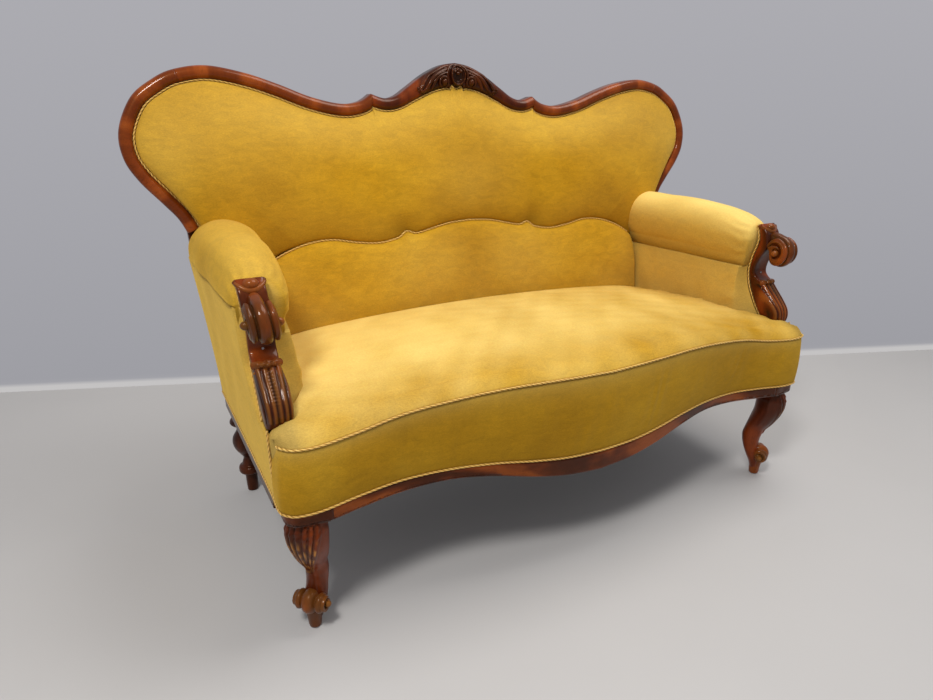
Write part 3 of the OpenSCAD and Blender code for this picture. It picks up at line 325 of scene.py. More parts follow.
# %% Velvet material
def make_velvet(name, deep, mid, pale):
    """Velvet: soft patches between a deep and a pale shade of one colour, darkened by painted shade, and made
    pale by wear and by painted light on tops.
    """
    material, tree, shader = new_material(
        name, Roughness=0.78, Sheen_Weight=0.38, Sheen_Roughness=0.5,
        Sheen_Tint=linear(255, 212, 100), Specular_IOR_Level=0.10,
    )
    patches = noise(tree, "Object", 2.6, detail=3, roughness=0.5, distortion=0.3, stretch=(1, 1, 1.2))
    strokes = noise(tree, "Object", 46, detail=5, roughness=0.7, distortion=0.8, stretch=(0.6, 0.6, 1.5))
    tufts = noise(tree, "Object", 420, detail=3, roughness=0.75, stretch=(0.6, 0.6, 1.4))
    base = ramp(tree, patches, [(0.30, deep), (0.5, mid), (0.72, pale)])
    stroked = ramp(tree, strokes, [(0.34, 0.40), (0.64, 0.60)])
    base = blend(tree, 0.6, base, stroked, "OVERLAY")
    # Painted shade: the shade value darkens the colour towards a darker tone of the deep colour in creases,
    # recesses and undersides.
    base = blend(tree, attribute(tree, "shade"), base, tuple(0.55 * c for c in deep[:3]) + (1,))
    # Painted light and wear: the next value pales the pile where it is worn and where light falls on tops.
    base = blend(tree, attribute(tree, "rubbed"), base, linear(246, 216, 128))
    speckle = ramp(tree, tufts, [(0.3, 0.34), (0.7, 0.66)])
    tree.links.new(blend(tree, 0.5, base, speckle, "OVERLAY"), shader.inputs["Base Color"])
    soft = bump(tree, shader, strokes, 0.10, 0.0012)
    bump(tree, shader, tufts, 0.30, 0.0005, under=soft)
    return material


velvet = make_velvet("velvet", linear(165, 119, 12), linear(182, 136, 22), linear(198, 154, 38))
print("made", velvet.name)

# %% [markdown]
# ## Polished wood
#
# The show wood is a reddish walnut under many thin coats of polish. Its figure comes from growth
# rings stretched along the grain, its pores are short dark dashes, and the polish is a clear coat
# over it. On the back rail the veneer runs across the half-round, so its grain follows the UV map.

# %% Wood materials
def make_wood(
    name, dark, mid, light, stretch, scale, grain="Object", coat=0.22, rough=0.36, worn=None
):
    """Wood: distorted rings stretched along the grain, fine pores, and a polish on top."""
    material, tree, shader = new_material(
        name, Roughness=rough, Coat_Weight=coat, Coat_Roughness=0.07, Specular_IOR_Level=0.22,
        Specular_Tint=linear(255, 176, 110),
    )
    source = add_node(tree, "ShaderNodeTexCoord")
    mapping = add_node(tree, "ShaderNodeMapping", {"Scale": stretch})
    tree.links.new(source.outputs[grain], mapping.inputs["Vector"])
    rings = add_node(
        tree, "ShaderNodeTexWave",
        {"Scale": scale, "Distortion": 9.0, "Detail": 4.0, "Detail Scale": 1.6, "Detail Roughness": 0.6},
        bands_direction="DIAGONAL",
    )
    tree.links.new(mapping.outputs["Vector"], rings.inputs["Vector"])
    cloud = noise(tree, grain, scale * 1.3, detail=5, roughness=0.6, distortion=1.0, stretch=stretch)
    pores = noise(tree, grain, scale * 60, detail=3, roughness=0.6, stretch=stretch)
    figure = ramp(tree, rings.outputs["Fac"], [(0.0, dark), (0.5, mid), (1.0, light)])
    tone = ramp(tree, cloud, [(0.3, 0.38), (0.7, 0.62)])
    base = blend(tree, 0.7, figure, tone, "OVERLAY")
    specks = ramp(tree, pores, [(0.34, 0.25), (0.46, 0.5)])
    base = blend(tree, 0.5, base, specks, "OVERLAY")
    if worn is not None:
        # The hollow value paints the wood near black: painted shade in grooves, channels and hollows, with
        # the dirt that gathers there, and a darker middle of the crest.
        base = blend(tree, attribute(tree, "hollow"), base, linear(26, 10, 7))
        base = blend(tree, attribute(tree, "worn"), base, worn)
    tree.links.new(base, shader.inputs["Base Color"])
    bump(tree, shader, pores, 0.10, 0.0003)
    return material


rail_veneer = make_wood(
    "rail_veneer", linear(104, 43, 9), linear(124, 54, 13), linear(142, 67, 20), grain="UV",
    stretch=(1.0, 0.25, 1), scale=5, coat=0.32,
)
figured_veneer = make_wood(
    "figured_veneer", linear(60, 22, 5), linear(100, 42, 10), linear(136, 66, 20), grain="UV",
    stretch=(0.35, 1.0, 1), scale=5,
)
carved_wood = make_wood(
    "carved_wood", linear(64, 20, 4), linear(92, 34, 8), linear(122, 50, 14), scale=4,
    stretch=(1, 1, 0.3), coat=0.30, worn=linear(206, 142, 62),
)
dark_wood = make_wood(
    "dark_wood", linear(40, 13, 6), linear(56, 21, 9), linear(76, 32, 14), scale=5,
    stretch=(1, 1, 0.3), worn=linear(120, 66, 32),
)
frame_wood = make_wood(
    "frame_wood", linear(120, 82, 48), linear(160, 116, 72), linear(186, 144, 96), scale=6,
    stretch=(0.2, 1, 1), coat=0.0, rough=0.7,
)
print("woods", [m.name for m in (rail_veneer, figured_veneer, carved_wood, dark_wood, frame_wood)])

# %% [markdown]
# ## Cord, cloth and metal
#
# The piping is a cord twisted from two glossy silk strands, a little paler than the velvet. The
# hessian and the dust cloth are plain weaves, and the webbing is a coarse jute twill.

# %% Other materials
def make_cord(name):
    """Silk cord: pale gold along each strand, and painted shade browner in the grooves between the strands.
    """
    material, tree, shader = new_material(
        name, Roughness=0.5, Sheen_Weight=0.3, Sheen_Roughness=0.4, Sheen_Tint=linear(255, 240, 190),
        Specular_IOR_Level=0.35,
    )
    fibre = noise(tree, "Object", 700, detail=2)
    # Painted shade: the grooves between the strands are painted browner.
    shades = [(0.0, linear(230, 190, 104)), (0.55, linear(200, 152, 64)), (1.0, linear(104, 68, 20))]
    tint = ramp(tree, attribute(tree, "groove"), shades)
    patches = ramp(tree, noise(tree, "Object", 14), [(0.3, 0.4), (0.7, 0.6)])
    tree.links.new(blend(tree, 0.4, tint, patches, "OVERLAY"), shader.inputs["Base Color"])
    bump(tree, shader, fibre, 0.3, 0.0003)
    return material


def make_weave(name, warp, weft, pitch):
    """Plain weave: threads over and under each other, as the product of two waves."""
    material, tree, shader = new_material(name, Roughness=0.9, Sheen_Weight=0.15, Specular_IOR_Level=0.2)
    source = add_node(tree, "ShaderNodeTexCoord")
    waves = []
    for direction in ("X", "Y"):
        settings = {"Scale": 0.31 / pitch, "Distortion": 0.6}
        wave = add_node(tree, "ShaderNodeTexWave", settings, bands_direction=direction)
        tree.links.new(source.outputs["Object"], wave.inputs["Vector"])
        waves.append(wave.outputs["Fac"])
    check = add_node(tree, "ShaderNodeMath", operation="MULTIPLY")
    for k in (0, 1):
        tree.links.new(waves[k], check.inputs[k])
    base = ramp(tree, check.outputs["Value"], [(0.1, warp), (0.7, weft)])
    uneven = ramp(tree, noise(tree, "Object", 30), [(0.3, 0.4), (0.7, 0.6)])
    tree.links.new(blend(tree, 0.5, base, uneven, "OVERLAY"), shader.inputs["Base Color"])
    bump(tree, shader, check.outputs["Value"], 0.5, pitch * 0.3)
    return material


def make_metal(name, colour, rough):
    """Drawn or turned steel with a faint uneven film."""
    material, tree, shader = new_material(name, Metallic=1.0, Roughness=rough)
    darker = tuple(0.7 * c for c in colour[:3]) + (1,)
    film = ramp(tree, noise(tree, "Object", 90), [(0.35, colour), (0.7, darker)])
    tree.links.new(film, shader.inputs["Base Color"])
    return material


piping_cord = make_cord("piping_cord")
hessian = make_weave("hessian", linear(120, 92, 52), linear(176, 146, 92), 0.0016)
webbing = make_weave("webbing", linear(130, 104, 64), linear(196, 168, 116), 0.0028)
dust_cloth = make_weave("dust_cloth", linear(26, 23, 21), linear(48, 43, 39), 0.0009)
screw_steel = make_metal("screw_steel", linear(170, 170, 176), 0.35)
spring_steel = make_metal("spring_steel", linear(128, 124, 120), 0.45)
print("cord, weaves and steels made")

# %% [markdown]
# ## The lines that everything follows
#
# The seat front is a serpentine: a bow in the middle, a hollow on each side, and a quick turn at
# the corner. The back rail rises from the wings over two shoulders to the crest. The sizes below
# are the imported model's own, so each surface lands where its solid is. Only the cord and the carved
# facings are a little thinner here, and the arms a little lower.

# %% Sizes and template tables
half_w, height, depth = 855.0, 1120.0, 786.0
half_seat, frame_rear_half = 698.0, 717.0
lean = math.tan(math.radians(5.83))
rail_back_t, rail_w, crest_w, rail_round, rebate_w = 30.0, 29.0, 60.0, 14.0, 12.0
back_y0 = depth / 2 - rail_back_t - height * lean
piping_d = 4.6
piping_r, gap = piping_d / 2, 0.3
seam, proud = piping_r + gap, 0.36 * piping_d
seat_edge_h, seat_edge_drop, seat_rear_h, seat_side_drop = 474.0, 40.0, 489.0, 28.0
front_bow, band_flare, band_t = 50.0, 17.0, 20.0
apron_h, apron_rise, band_h, band_rise = 230.0, 51.0, 281.0, 27.0
front_rail_top, side_rail_top, seat_rail_t, show_t, panel_t = 398.0, 338.0, 42.0, 4.0, 4.0
hollow_y = front_bow + 0.6 * band_flare + 5.5 - depth / 2
back_crown, lumbar_edge_t, lumbar_crown = 58.0, 50.0, 92.0
facing_d, facing_w, facing_top, facing_foot = 119.0, 51.0, 708.0, 448.0
arm_top, arm_front_drop, arm_seam_h, arm_span = 760.0, 42.0, 606.0, 1496.0

front_shares = [
    [0.000, 1.00, 0.00, 0.00, 1.00, 0.60], [0.125, 0.94, 0.12, 0.09, 1.05, 0.60],
    [0.244, 0.82, 0.42, 0.45, 1.10, 0.65], [0.372, 0.56, 0.80, 0.87, 1.08, 0.80],
    [0.511, 0.20, 1.00, 1.00, 0.88, 1.00], [0.656, 0.00, 0.92, 0.93, 0.55, 0.80],
    [0.788, 0.20, 0.84, 0.84, 0.15, 0.30], [0.895, 0.44, 0.78, 0.72, 0.00, 0.05],
    [0.960, 0.42, 0.78, 0.72, 0.05, 0.05], [0.988, 0.16, 0.78, 0.72, 0.04, 0.02],
    [1.000, -0.16, 0.78, 0.72, 0.02, 0.00], [1.002, -0.82, 0.78, 0.72, 0.00, 0.00],
]
rail_shares = [
    [0.292, 0.926], [0.331, 0.909], [0.392, 0.904], [0.480, 0.918], [0.570, 0.943],
    [0.660, 0.964], [0.758, 0.976], [0.840, 0.967], [0.895, 0.948], [0.955, 0.912],
    [0.996, 0.850], [0.996, 0.795], [0.968, 0.750], [0.918, 0.702], [0.886, 0.670], [0.868, 0.640],
]
wing_from = 7
crest_shares = [
    [0.000, 1.000], [0.047, 0.994], [0.105, 0.974], [0.164, 0.945], [0.210, 0.923],
    [0.250, 0.917], [0.292, 0.926],
]
crest_full_shares = [1, 0.95, 0.62, 0.26, 0.06, 0.0, 0.0]
lumbar_shares = [
    [0.000, 0.629], [0.075, 0.625], [0.140, 0.615], [0.193, 0.607], [0.228, 0.613],
    [0.258, 0.599], [0.322, 0.591], [0.390, 0.596], [0.470, 0.607], [0.545, 0.603],
    [0.620, 0.585], [0.680, 0.560],
]
pad_foot_shares = [[0.740, 0.570], [0.806, 0.600]]
arm_inner_shares = [
    [0.00, 0.838], [0.15, 0.839], [0.30, 0.842], [0.45, 0.846], [0.60, 0.852], [0.78, 0.864],
    [0.86, 0.880], [0.90, 0.917], [1.00, 0.924],
]
facing_front_shares = [
    [0.08, 0.00], [0.04, 0.08], [0.08, 0.16], [0.22, 0.24], [0.42, 0.33], [0.58, 0.40],
    [0.75, 0.44], [0.84, 0.49], [0.83, 0.57], [0.76, 0.66], [0.64, 0.78], [0.70, 0.90],
    [0.80, 0.96], [0.90, 1.00],
]
facing_rear_shares = [
    [1.00, 0.985], [0.90, 0.83], [0.97, 0.65], [1.00, 0.49], [0.91, 0.335], [0.70, 0.17],
    [0.54, 0.07], [0.48, 0.00],
]
print("tables of", len(front_shares), "front points and", len(rail_shares), "rail points")

# %% Front line, back plane and side lines
FINE = 16


def plane_y(z):
    """Depth of the back plane at a height."""
    return back_y0 + z * lean


def front_columns(shares):
    """Columns across, forward, apron height, cord height, seat edge height and flare in mm."""
    s = np.asarray(shares)
    return np.stack([
        s[:, 0] * half_seat, hollow_y - s[:, 1] * front_bow, apron_h + s[:, 2] * apron_rise,
        band_h + s[:, 3] * band_rise, seat_edge_h + (s[:, 4] - 1) * seat_edge_drop, s[:, 5] * band_flare,
    ], 1)


def inward_of(line):
    """Directions in the floor plan, square to the line and into the sofa."""
    t = unit(np.gradient(line[:, :2], axis=0))
    return np.stack([-t[:, 1], t[:, 0]], 1)


front_half = curve(front_columns(front_shares), FINE)
seam_y, corner_apron_h, corner_band_h = front_half[-1, 1:4]
front = even(both_sides(front_half), 421, 2)
front_in = inward_of(front)
seat_line = even(both_sides(front_half[: -FINE]), 341, 2)
seat_in = inward_of(seat_line)
rear_y = plane_y(corner_apron_h) + rail_back_t
side_top_z = arm_seam_h + (arm_top - arm_seam_h) / 2


def side_x(y):
    """Outer face of the seat frame at a depth."""
    return mix(half_seat, frame_rear_half, (y - seam_y) / (rear_y - seam_y))


def outer_x(y, z):
    """Outer face of the arm: the frame below, flaring out in a hollow curve to the arm above."""
    up = np.clip((z - corner_band_h) / (side_top_z - corner_band_h), 0, 1)
    narrowing = 36 * (rear_y - y) / (rear_y - seam_y)
    return mix(side_x(y), arm_span / 2 - narrowing, up**1.3)


print("front line", len(front), "points, from x", round(front[0, 0]), "to", round(front[-1, 0]))

# %% Back rail, crest and seam lines
def hump(x, at, wide):
    """A smooth rise, one at its middle."""
    return np.exp(-(((x - at) / wide) ** 2))


rail_line = curve([[a * half_w, b * height] for a, b in rail_shares], FINE)
crest_line = curve([[a * half_w, b * height] for a, b in crest_shares], FINE)
crest_full = curve([[v] for v in crest_full_shares], FINE)[:, 0]
cx = crest_line[:, 0]
scallop = 3 * hump(cx, 0, 12) - 4.5 * hump(cx, 22.5, 6.5) + 4 * hump(cx, 40, 9)
crest_width = mix(rail_w, crest_w, crest_full) + scallop
lumbar_line = curve([[a * half_w, b * height] for a, b in lumbar_shares], FINE)


def normal_of(line):
    """Directions in the plane of the back, square to the line and into the sofa."""
    t = unit(np.gradient(line, axis=0))
    return np.stack([t[:, 1], -t[:, 0]], 1)


def eased(normals, share):
    """Turned straight down where share is one, as at a joint."""
    return unit(mix(normals, np.array([0.0, -1.0]), share[:, None]))


k = np.arange(len(crest_line))
crest_in = eased(normal_of(crest_line), smooth(1 - np.minimum(k, len(k) - 1 - k) / (FINE * 0.5)))
k = np.arange(len(rail_line))
rail_in = eased(normal_of(rail_line), smooth(1 - k / (FINE * 0.7)))
foot_raw = curve([[a * half_w, b * height] for a, b in lumbar_shares + pad_foot_shares], FINE)
foot_line = foot_raw - seam * normal_of(foot_raw)


def rim_line(reach):
    """Line of the rim of the back, at a distance inside the visible rail."""
    return np.vstack([
        crest_line + (crest_width + reach)[:, None] * crest_in,
        (rail_line + (rail_w + reach) * rail_in)[1:],
    ])


def on_back(q, ahead):
    """Points of the back from (across, height), at a distance in front of the back plane."""
    q = np.asarray(q)
    return np.stack([q[..., 0], plane_y(q[..., 1]) - ahead, q[..., 1]], -1)


def at_share(line, s):
    """Points of a line at shares of its count of points."""
    at = np.asarray(s) * (len(line) - 1)
    k = np.arange(len(line))
    return np.stack([np.interp(at, k, line[:, c]) for c in range(line.shape[1])], -1)


print("back rail", len(rail_line), "points, crest", len(crest_line))

# %% [markdown]
# ## The seat rail in front
#
# The serpentine front rail is sawn from thick stock and faced with figured veneer. Only a strip of
# it shows, between its rounded lower edge and the velvet band. We carry one profile along the front
# line: down the face, round the lower edge, and back underneath.

# %% Front rail
def along_front(profile, line, inward):
    """Carries profile points (inset, share of the way up the wooden strip, lift) along a run of the
    front line and gives a grid of points."""
    inset, share, lift = (np.asarray(profile)[:, c][None, :] for c in range(3))
    x = line[:, :1] + inset * inward[:, :1]
    y = line[:, 1:2] + inset * inward[:, 1:2]
    z = mix(line[:, 2:3], line[:, 3:4], share) + lift
    return np.stack(np.broadcast_arrays(x, y, z), -1)


angle = np.radians(np.linspace(0, 90, 7))
edge = [[show_t * 1.6 * (1 - math.sin(a)), 0, show_t * 1.6 * (1 - math.cos(a))] for a in angle]
rail_profile = (
    [[seat_rail_t, 0, 0], [show_t * 3, 0, 0]] + edge
    + [[0, s, -seam * s] for s in np.linspace(0.2, 1, 7)]
    + [[band_t * 0.5, 1, -seam], [band_t + gap, 1, -seam], [band_t + gap, 1, 60], [seat_rail_t, 1, 60]]
)
block_share = 0.872
inner_corner = np.abs(front[:, 0]) < block_share * half_seat
rail_grid = along_front(rail_profile, front[inner_corner], front_in[inner_corner])
rail_grid[:, -2:, 2] = front_rail_top
rail = dress("front_rail", tube(rail_grid), figured_veneer)
print("front rail", len(rail.data.polygons), "faces")

# %% [markdown]
# ## Twisted cord
#
# Two silk strands are laid round each other. The cord's section is a two-lobed ring, and each
# ring along the route is turned a little further than the last. Deeper points of the section get a
# higher groove value, which the material paints browner as painted shade. The length of each cord
# is the length of its route.

# %% Cord helper
def cord_rings(route, reference, radius=piping_r, step=1.0, pitch=22.0, strands=2, around=14):
    """Rings of a laid cord: radius falls to three quarters in the grooves between the strands, and
    the section turns once in every pitch of length."""
    length = np.linalg.norm(np.diff(route, axis=0), axis=1).sum()
    line = even(route, max(int(length / step), 8))
    t = unit(np.gradient(line, axis=0))
    u = unit(np.cross(t, np.asarray(reference, float)))
    v = np.cross(t, u)
    s = np.linspace(0, length, len(line))[:, None]
    a = np.linspace(0, math.tau, around, endpoint=False)[None, :]
    lobe = np.abs(np.sin(strands / 2 * (a - math.tau * s / pitch)))
    r = radius * (0.74 + 0.26 * lobe**0.6)
    ring = np.cos(a)[..., None] * u[:, None] + np.sin(a)[..., None] * v[:, None]
    return line[:, None] + r[..., None] * ring, 1 - lobe


def make_cord_piece(node, routes, reference):
    """One piping piece from one or more routes."""
    parts, grooves = [], []
    for route in routes:
        rings, groove = cord_rings(np.asarray(route), reference)
        parts.append(tube(rings))
        grooves.append(np.r_[groove.ravel(), 1, 1])
    dress(node, merged(parts), piping_cord, {"groove": np.concatenate(grooves)})
    total = sum(np.linalg.norm(np.diff(route, axis=0), axis=1).sum() for route in routes)
    print(node, round(total * MM, 2), "m of cord")


# %% Piping of seat, band and back
def drawn_in(x):
    """The seat edge is drawn in a little at both corners, where the cover is pleated."""
    return x - 8 * np.sign(x) * smooth((np.abs(x) - 650) / 48)


route = np.column_stack([
    drawn_in(seat_line[:, 0]) - proud * seat_in[:, 0],
    seat_line[:, 1] - proud * seat_in[:, 1] - seat_line[:, 5], seat_line[:, 4],
])
make_cord_piece("seat_piping", [route], (0, 0, 1))
back_run = np.linspace(mix(seam_y, rear_y, 0.04), rear_y, 12)
side_run = np.stack([side_x(back_run) + gap / 2, back_run, np.full(12, corner_band_h)], 1)
middle = np.column_stack([front[:, :2] - gap / 2 * front_in, front[:, 3]])
route = np.vstack([on_side(side_run, -1)[::-1], middle, side_run])
make_cord_piece("frame_piping", [route], (0, 0, 1))
route = on_back(rim_line(seam), seam)
route[0, 0] = 2 * gap
for side, name in SIDES:
    make_cord_piece(f"back_piping_{name}", [on_side(route, side)], (0, 1, 0))
route = both_sides(on_back(lumbar_line, lumbar_edge_t - piping_r))
make_cord_piece("lumbar_piping", [route], (0, 1, 0))

# %% Outline and piping of the facings
facing_x, facing_y = half_seat - 23, seam_y - 3
facing_inner_x, facing_h = facing_x - facing_w / 2, facing_top - facing_foot


def facing_curve(shares):
    """Line of the facing's outline in (depth, height)."""
    s = np.asarray(shares)
    return curve(np.stack([facing_y + s[:, 0] * facing_d, facing_foot + s[:, 1] * facing_h], 1))


facing_front, facing_rear = facing_curve(facing_front_shares), facing_curve(facing_rear_shares)


def rear_line(distance):
    """The facing's rear edge moved back by a distance."""
    return facing_rear - distance * normal_of(facing_rear)


def splay(z):
    """How far the upper half of the facing leans outwards, like the arm behind it."""
    return 8 * smooth((z - 590) / 110)


behind_cord = rear_line(seam + piping_r + gap)[::-1]


def behind_y(z):
    """Depth just behind the piping of the facing at a height."""
    return np.interp(z, behind_cord[:, 1], behind_cord[:, 0])


q = rear_line(seam)
z = np.linspace(corner_band_h + seam, facing_foot + 4, 12)
upright = np.stack([np.full(12, half_seat + 1.2), np.full(12, seam_y + 1.0), z], 1)
sides = (facing_inner_x + piping_r, facing_inner_x + facing_w - piping_r)
routes = [np.column_stack([x + splay(q[:, 1]), q]) for x in sides] + [upright]
for side, name in SIDES:
    make_cord_piece(f"facing_piping_{name}", [on_side(route, side) for route in routes], (1, 0, 0))

# %% [markdown]
# ## Back rail and crest
#
# The back's show rail is a half-round moulding, veneered across its width, with a rebate behind it
# for the upholstery. The profile is carried along the rail's outline, and the crest is the same
# profile grown to twice the width in the middle.

# %% Back rail
def rail_rings(line, inward, width):
    """Half-round face of the given width in front of the back plane, a rebate, and a flat back."""
    a = np.radians(np.linspace(0, 180, 19))
    width = np.broadcast_to(width, len(line))[:, None]
    s = np.hstack([
        width * (1 - np.cos(a)) / 2, width + rebate_w, width + rebate_w, np.zeros_like(width),
    ])
    d = np.hstack([np.sin(a) * rail_round, [0, -rail_back_t, -rail_back_t]])[None, :]
    q = line[:, None] + s[..., None] * inward[:, None]
    return on_back(q, np.broadcast_to(d, s.shape))


wing_start = wing_from * FINE
wing_line = rail_line[wing_start:].copy()
wing_line[0] += gap * unit(rail_line[wing_start + 1] - rail_line[wing_start])
top_line = rail_line[: wing_start + 1] + [gap / 2, 0]
outlines = {
    "top_rail": rail_rings(top_line, rail_in[: wing_start + 1], rail_w),
    "wing_rail": rail_rings(wing_line, rail_in[wing_start:], rail_w),
}
for side, name in SIDES:
    for part, rings in outlines.items():
        dress(f"{part}_{name}", tube(on_side(rings, side)), rail_veneer)
half = rail_rings(crest_line, crest_in, crest_width)
half[:, :, 0] *= 1 - gap / 2 / half[-1, 0, 0]
rings = np.vstack([on_side(half[:0:-1], -1), half])
# The crest is painted darker in its middle, where the carving lies on it.
darker_middle = 0.8 * smooth((122 - np.abs(rings[..., 0])) / 16)
darker_middle_values = {"hollow": np.r_[darker_middle.ravel(), 0, 0]}
crest = dress("crest_rail", tube(rings), carved_wood, darker_middle_values)
print("back rail in five pieces, the crest of", len(crest.data.polygons), "faces")

# %% [markdown]
# ## Upper back pad
#
# One crowned panel of velvet fills the frame: thick at the seam above the lower pad, thin at the
# rim. We stretch a fan of lines from the seam to the rim. The cloth is pulled down hard at the two
# notches of the seam, so it dips there and folds run up from them.

# %% Velvet piece helper
def soft_piece(node, top, bottom, fill, rubbed, shade=0.0):
    """A padded piece between its face grid and its rear grid. shade darkens the velvet as painted shade,
    and the other value pales it for wear and as painted light, as shares from 0 to 1 on the face grid."""
    given = {"shade": shade, "rubbed": rubbed}
    values = {key: np.tile(np.broadcast_to(v, top.shape[:2]).ravel(), 2) for key, v in given.items()}
    piece = dress(node, slab(top, bottom), velvet, values)
    return piece


def dent(x, z, at_x, at_z, wide, tall):
    """A round hollow or hump, one at its middle."""
    return np.exp(-((x - at_x) / wide) ** 2 - ((z - at_z) / tall) ** 2)


def mirror_grid(half):
    """A half grid whose first row lies on the middle, with its mirror image before it."""
    return np.concatenate([on_side(half[:0:-1], -1), half])


def mirror_values(half):
    """The same for values without a direction."""
    return np.concatenate([half[:0:-1], half])


print("velvet helpers ready")

# %% Upper back pad
pad_rim_t, pad_foot_t, web_t, hessian_t = 7.0, 24.0, 1.5, 1.2
hessian_front = 2 * gap + web_t + hessian_t
pad_rear = hessian_front + gap
notch_x, reach = 207.0, 16
s = np.linspace(0, 1, 150)[:, None]
v = np.linspace(0, 1, 64)[None, :] ** 1.15
foot_edge = at_share(foot_line, s[:, 0]) - np.array([0, 26]) * smooth((s - 0.83) / 0.08)
rim = at_share(rim_line(piping_d + 3 * gap), s[:, 0])
# The rim has small steps. The lines of the pad run to a smoothed rim, and take on the steps only
# in their last part, so that no crease runs down from a step.
weights = np.hanning(2 * reach + 1) / np.hanning(2 * reach + 1).sum()
longer = np.vstack([rim[1:reach + 1][::-1] * [-1, 1], rim, 2 * rim[-1] - rim[-reach - 1:-1][::-1]])
calm = np.stack([np.convolve(longer[:, c], weights, "valid") for c in (0, 1)], -1)
q = mix(foot_edge[:, None], calm[:, None], v[..., None]) + (rim - calm)[:, None] * (v**9)[..., None]
wing = np.clip((s - 0.72) / 0.28, 0, 1)
foot = mix(lumbar_edge_t - seam, pad_foot_t, wing**0.7)
bulge = (back_crown - mix(foot, pad_rim_t, 0.5)) * (1 - 0.8 * wing)
ahead = mix(foot, pad_rim_t, v) + bulge * np.sin(math.pi * v**0.8) ** 0.8
print("back pad grid", ahead.shape)

# %% Creases, painted shade and paler patches of the upper back pad
x, z = q[..., 0], q[..., 1]
edge_free = np.sin(math.pi * np.clip(v, 0, 1)) ** 0.5
above = np.clip(z - 690, 0, None)
notch = dent(x, z, notch_x, 686, 52, 40)
pull = np.exp(-((x - notch_x - 0.10 * (z - 700)) / 20) ** 2 - above / 85)
folds = np.cos((x - notch_x - 0.2 * (z - 700)) / 9.5) * np.exp(-((x - notch_x) / 42) ** 2 - above / 45)
uneven = 1.6 * ripple(x, z, 3, 170) + 0.5 * ripple(x, z, 4, 60)
ahead = ahead + edge_free * (uneven - 13 * notch - 4 * pull + folds)
rim_pull = np.exp(-(1 - v) / 0.10) * np.sin(math.pi * np.clip((1 - v) / 0.16, 0, 1))
tucks = 0.5 + 0.5 * np.sin(s * math.tau * 46 + 1.4 * ripple(s * 900, 0, 9, 120))
ahead = ahead - 1.3 * rim_pull * tucks
# Painted shade darkens the notches, the pulls above them and the foot of the pad along the seam. The pile is
# painted paler in uneven patches and towards the rim.
shade = 0.38 * notch + 0.10 * pull + 0.30 * np.exp(-v / 0.16) * (1 - wing)
rubbed = (0.05 + 0.05 * ripple(x, z, 12, 420)) * edge_free + 0.10 * smooth((v - 0.55) / 0.4)
face, rear = (mirror_grid(on_back(q, d)) for d in (ahead, np.full_like(ahead, pad_rear)))
shade, rubbed = mirror_values(shade), mirror_values(rubbed)
back_pad = soft_piece("back_pad", face, rear, fill=0.85, shade=shade, rubbed=rubbed)
print("upper back pad", len(back_pad.data.polygons), "faces")

# %% [markdown]
# ## Lower back pad
#
# The lower pad supports the small of the back. Its upper seam is scalloped, and it swells forward
# from the seam and dives behind the seat. A line from the seam down to the frame is bent forward by
# the fourth root curve of a tightly stuffed roll.

# %% Lower back pad
cushion_low = front_rail_top + gap + hessian_t + gap
lumbar_low = cushion_low + gap
upper = even(lumbar_line + seam * normal_of(lumbar_line), 150)
low_to_seam = 1 - (1 - np.linspace(0, 1, 52)[None, :]) ** 1.6
q = np.stack(np.broadcast_arrays(upper[:, :1], mix(lumbar_low, upper[:, 1:2], low_to_seam)), -1)
x, z = q[..., 0], q[..., 1]
fullness = np.sqrt(np.clip(1 - low_to_seam**4, 0, 1))
free = np.sin(math.pi * np.clip(low_to_seam, 0, 1)) ** 0.6
notch = dent(x, z, notch_x, 694, 34, 34)
gathers = np.exp(-(1 - low_to_seam) / 0.12) * (0.5 + 0.5 * np.sin(x / 7.5 + ripple(x, z, 23, 60)))
uneven = 1.8 * ripple(x, z, 21, 150) + 0.5 * ripple(x, z, 22, 50)
ahead = mix(lumbar_edge_t, lumbar_crown - gap, fullness) + free * (uneven - 6 * notch - gathers)
# Painted shade darkens the pad where it dives behind the seat and at the notches. The pile is painted paler
# in uneven patches on its free part.
shade = mirror_values(0.35 * np.exp(-np.abs(z - 495) / 26) + 0.2 * notch)
rubbed = mirror_values((0.10 + 0.05 * ripple(x, z, 24, 380)) * free)
face, rear = (mirror_grid(on_back(q, d)) for d in (ahead, np.full_like(ahead, pad_rear)))
lumbar_pad = soft_piece("lumbar_pad", face, rear, fill=0.9, shade=shade, rubbed=rubbed)
print("lower back pad", len(lumbar_pad.data.polygons), "faces")

# %% [markdown]
# ## The seat
#
# The seat is sprung and stuffed, with no loose cushion. Each column of the grid runs from the lower
# back pad forward to the seat piping: almost level, then over a soft roll at the front edge. The
# cloth sinks a little where people sit, and small folds stand where it is drawn in beside the arms.

# %% Seat grid
seat_back_y = plane_y(seat_rear_h) - lumbar_crown
arm_table = curve(arm_inner_shares)
at = np.linspace(-0.2, 1.2, 281)
weights = np.hanning(55) / np.hanning(55).sum()
soft = np.convolve(np.interp(at, *arm_table.T), weights, "same")
arm_inner = np.stack([at, soft], 1)[30:-30]


def arm_x(y):
    """Inner face of the arm at a depth."""
    return half_seat * np.interp(np.clip((seat_back_y - y) / (seat_back_y - facing_y), 0, 1), *arm_inner.T)


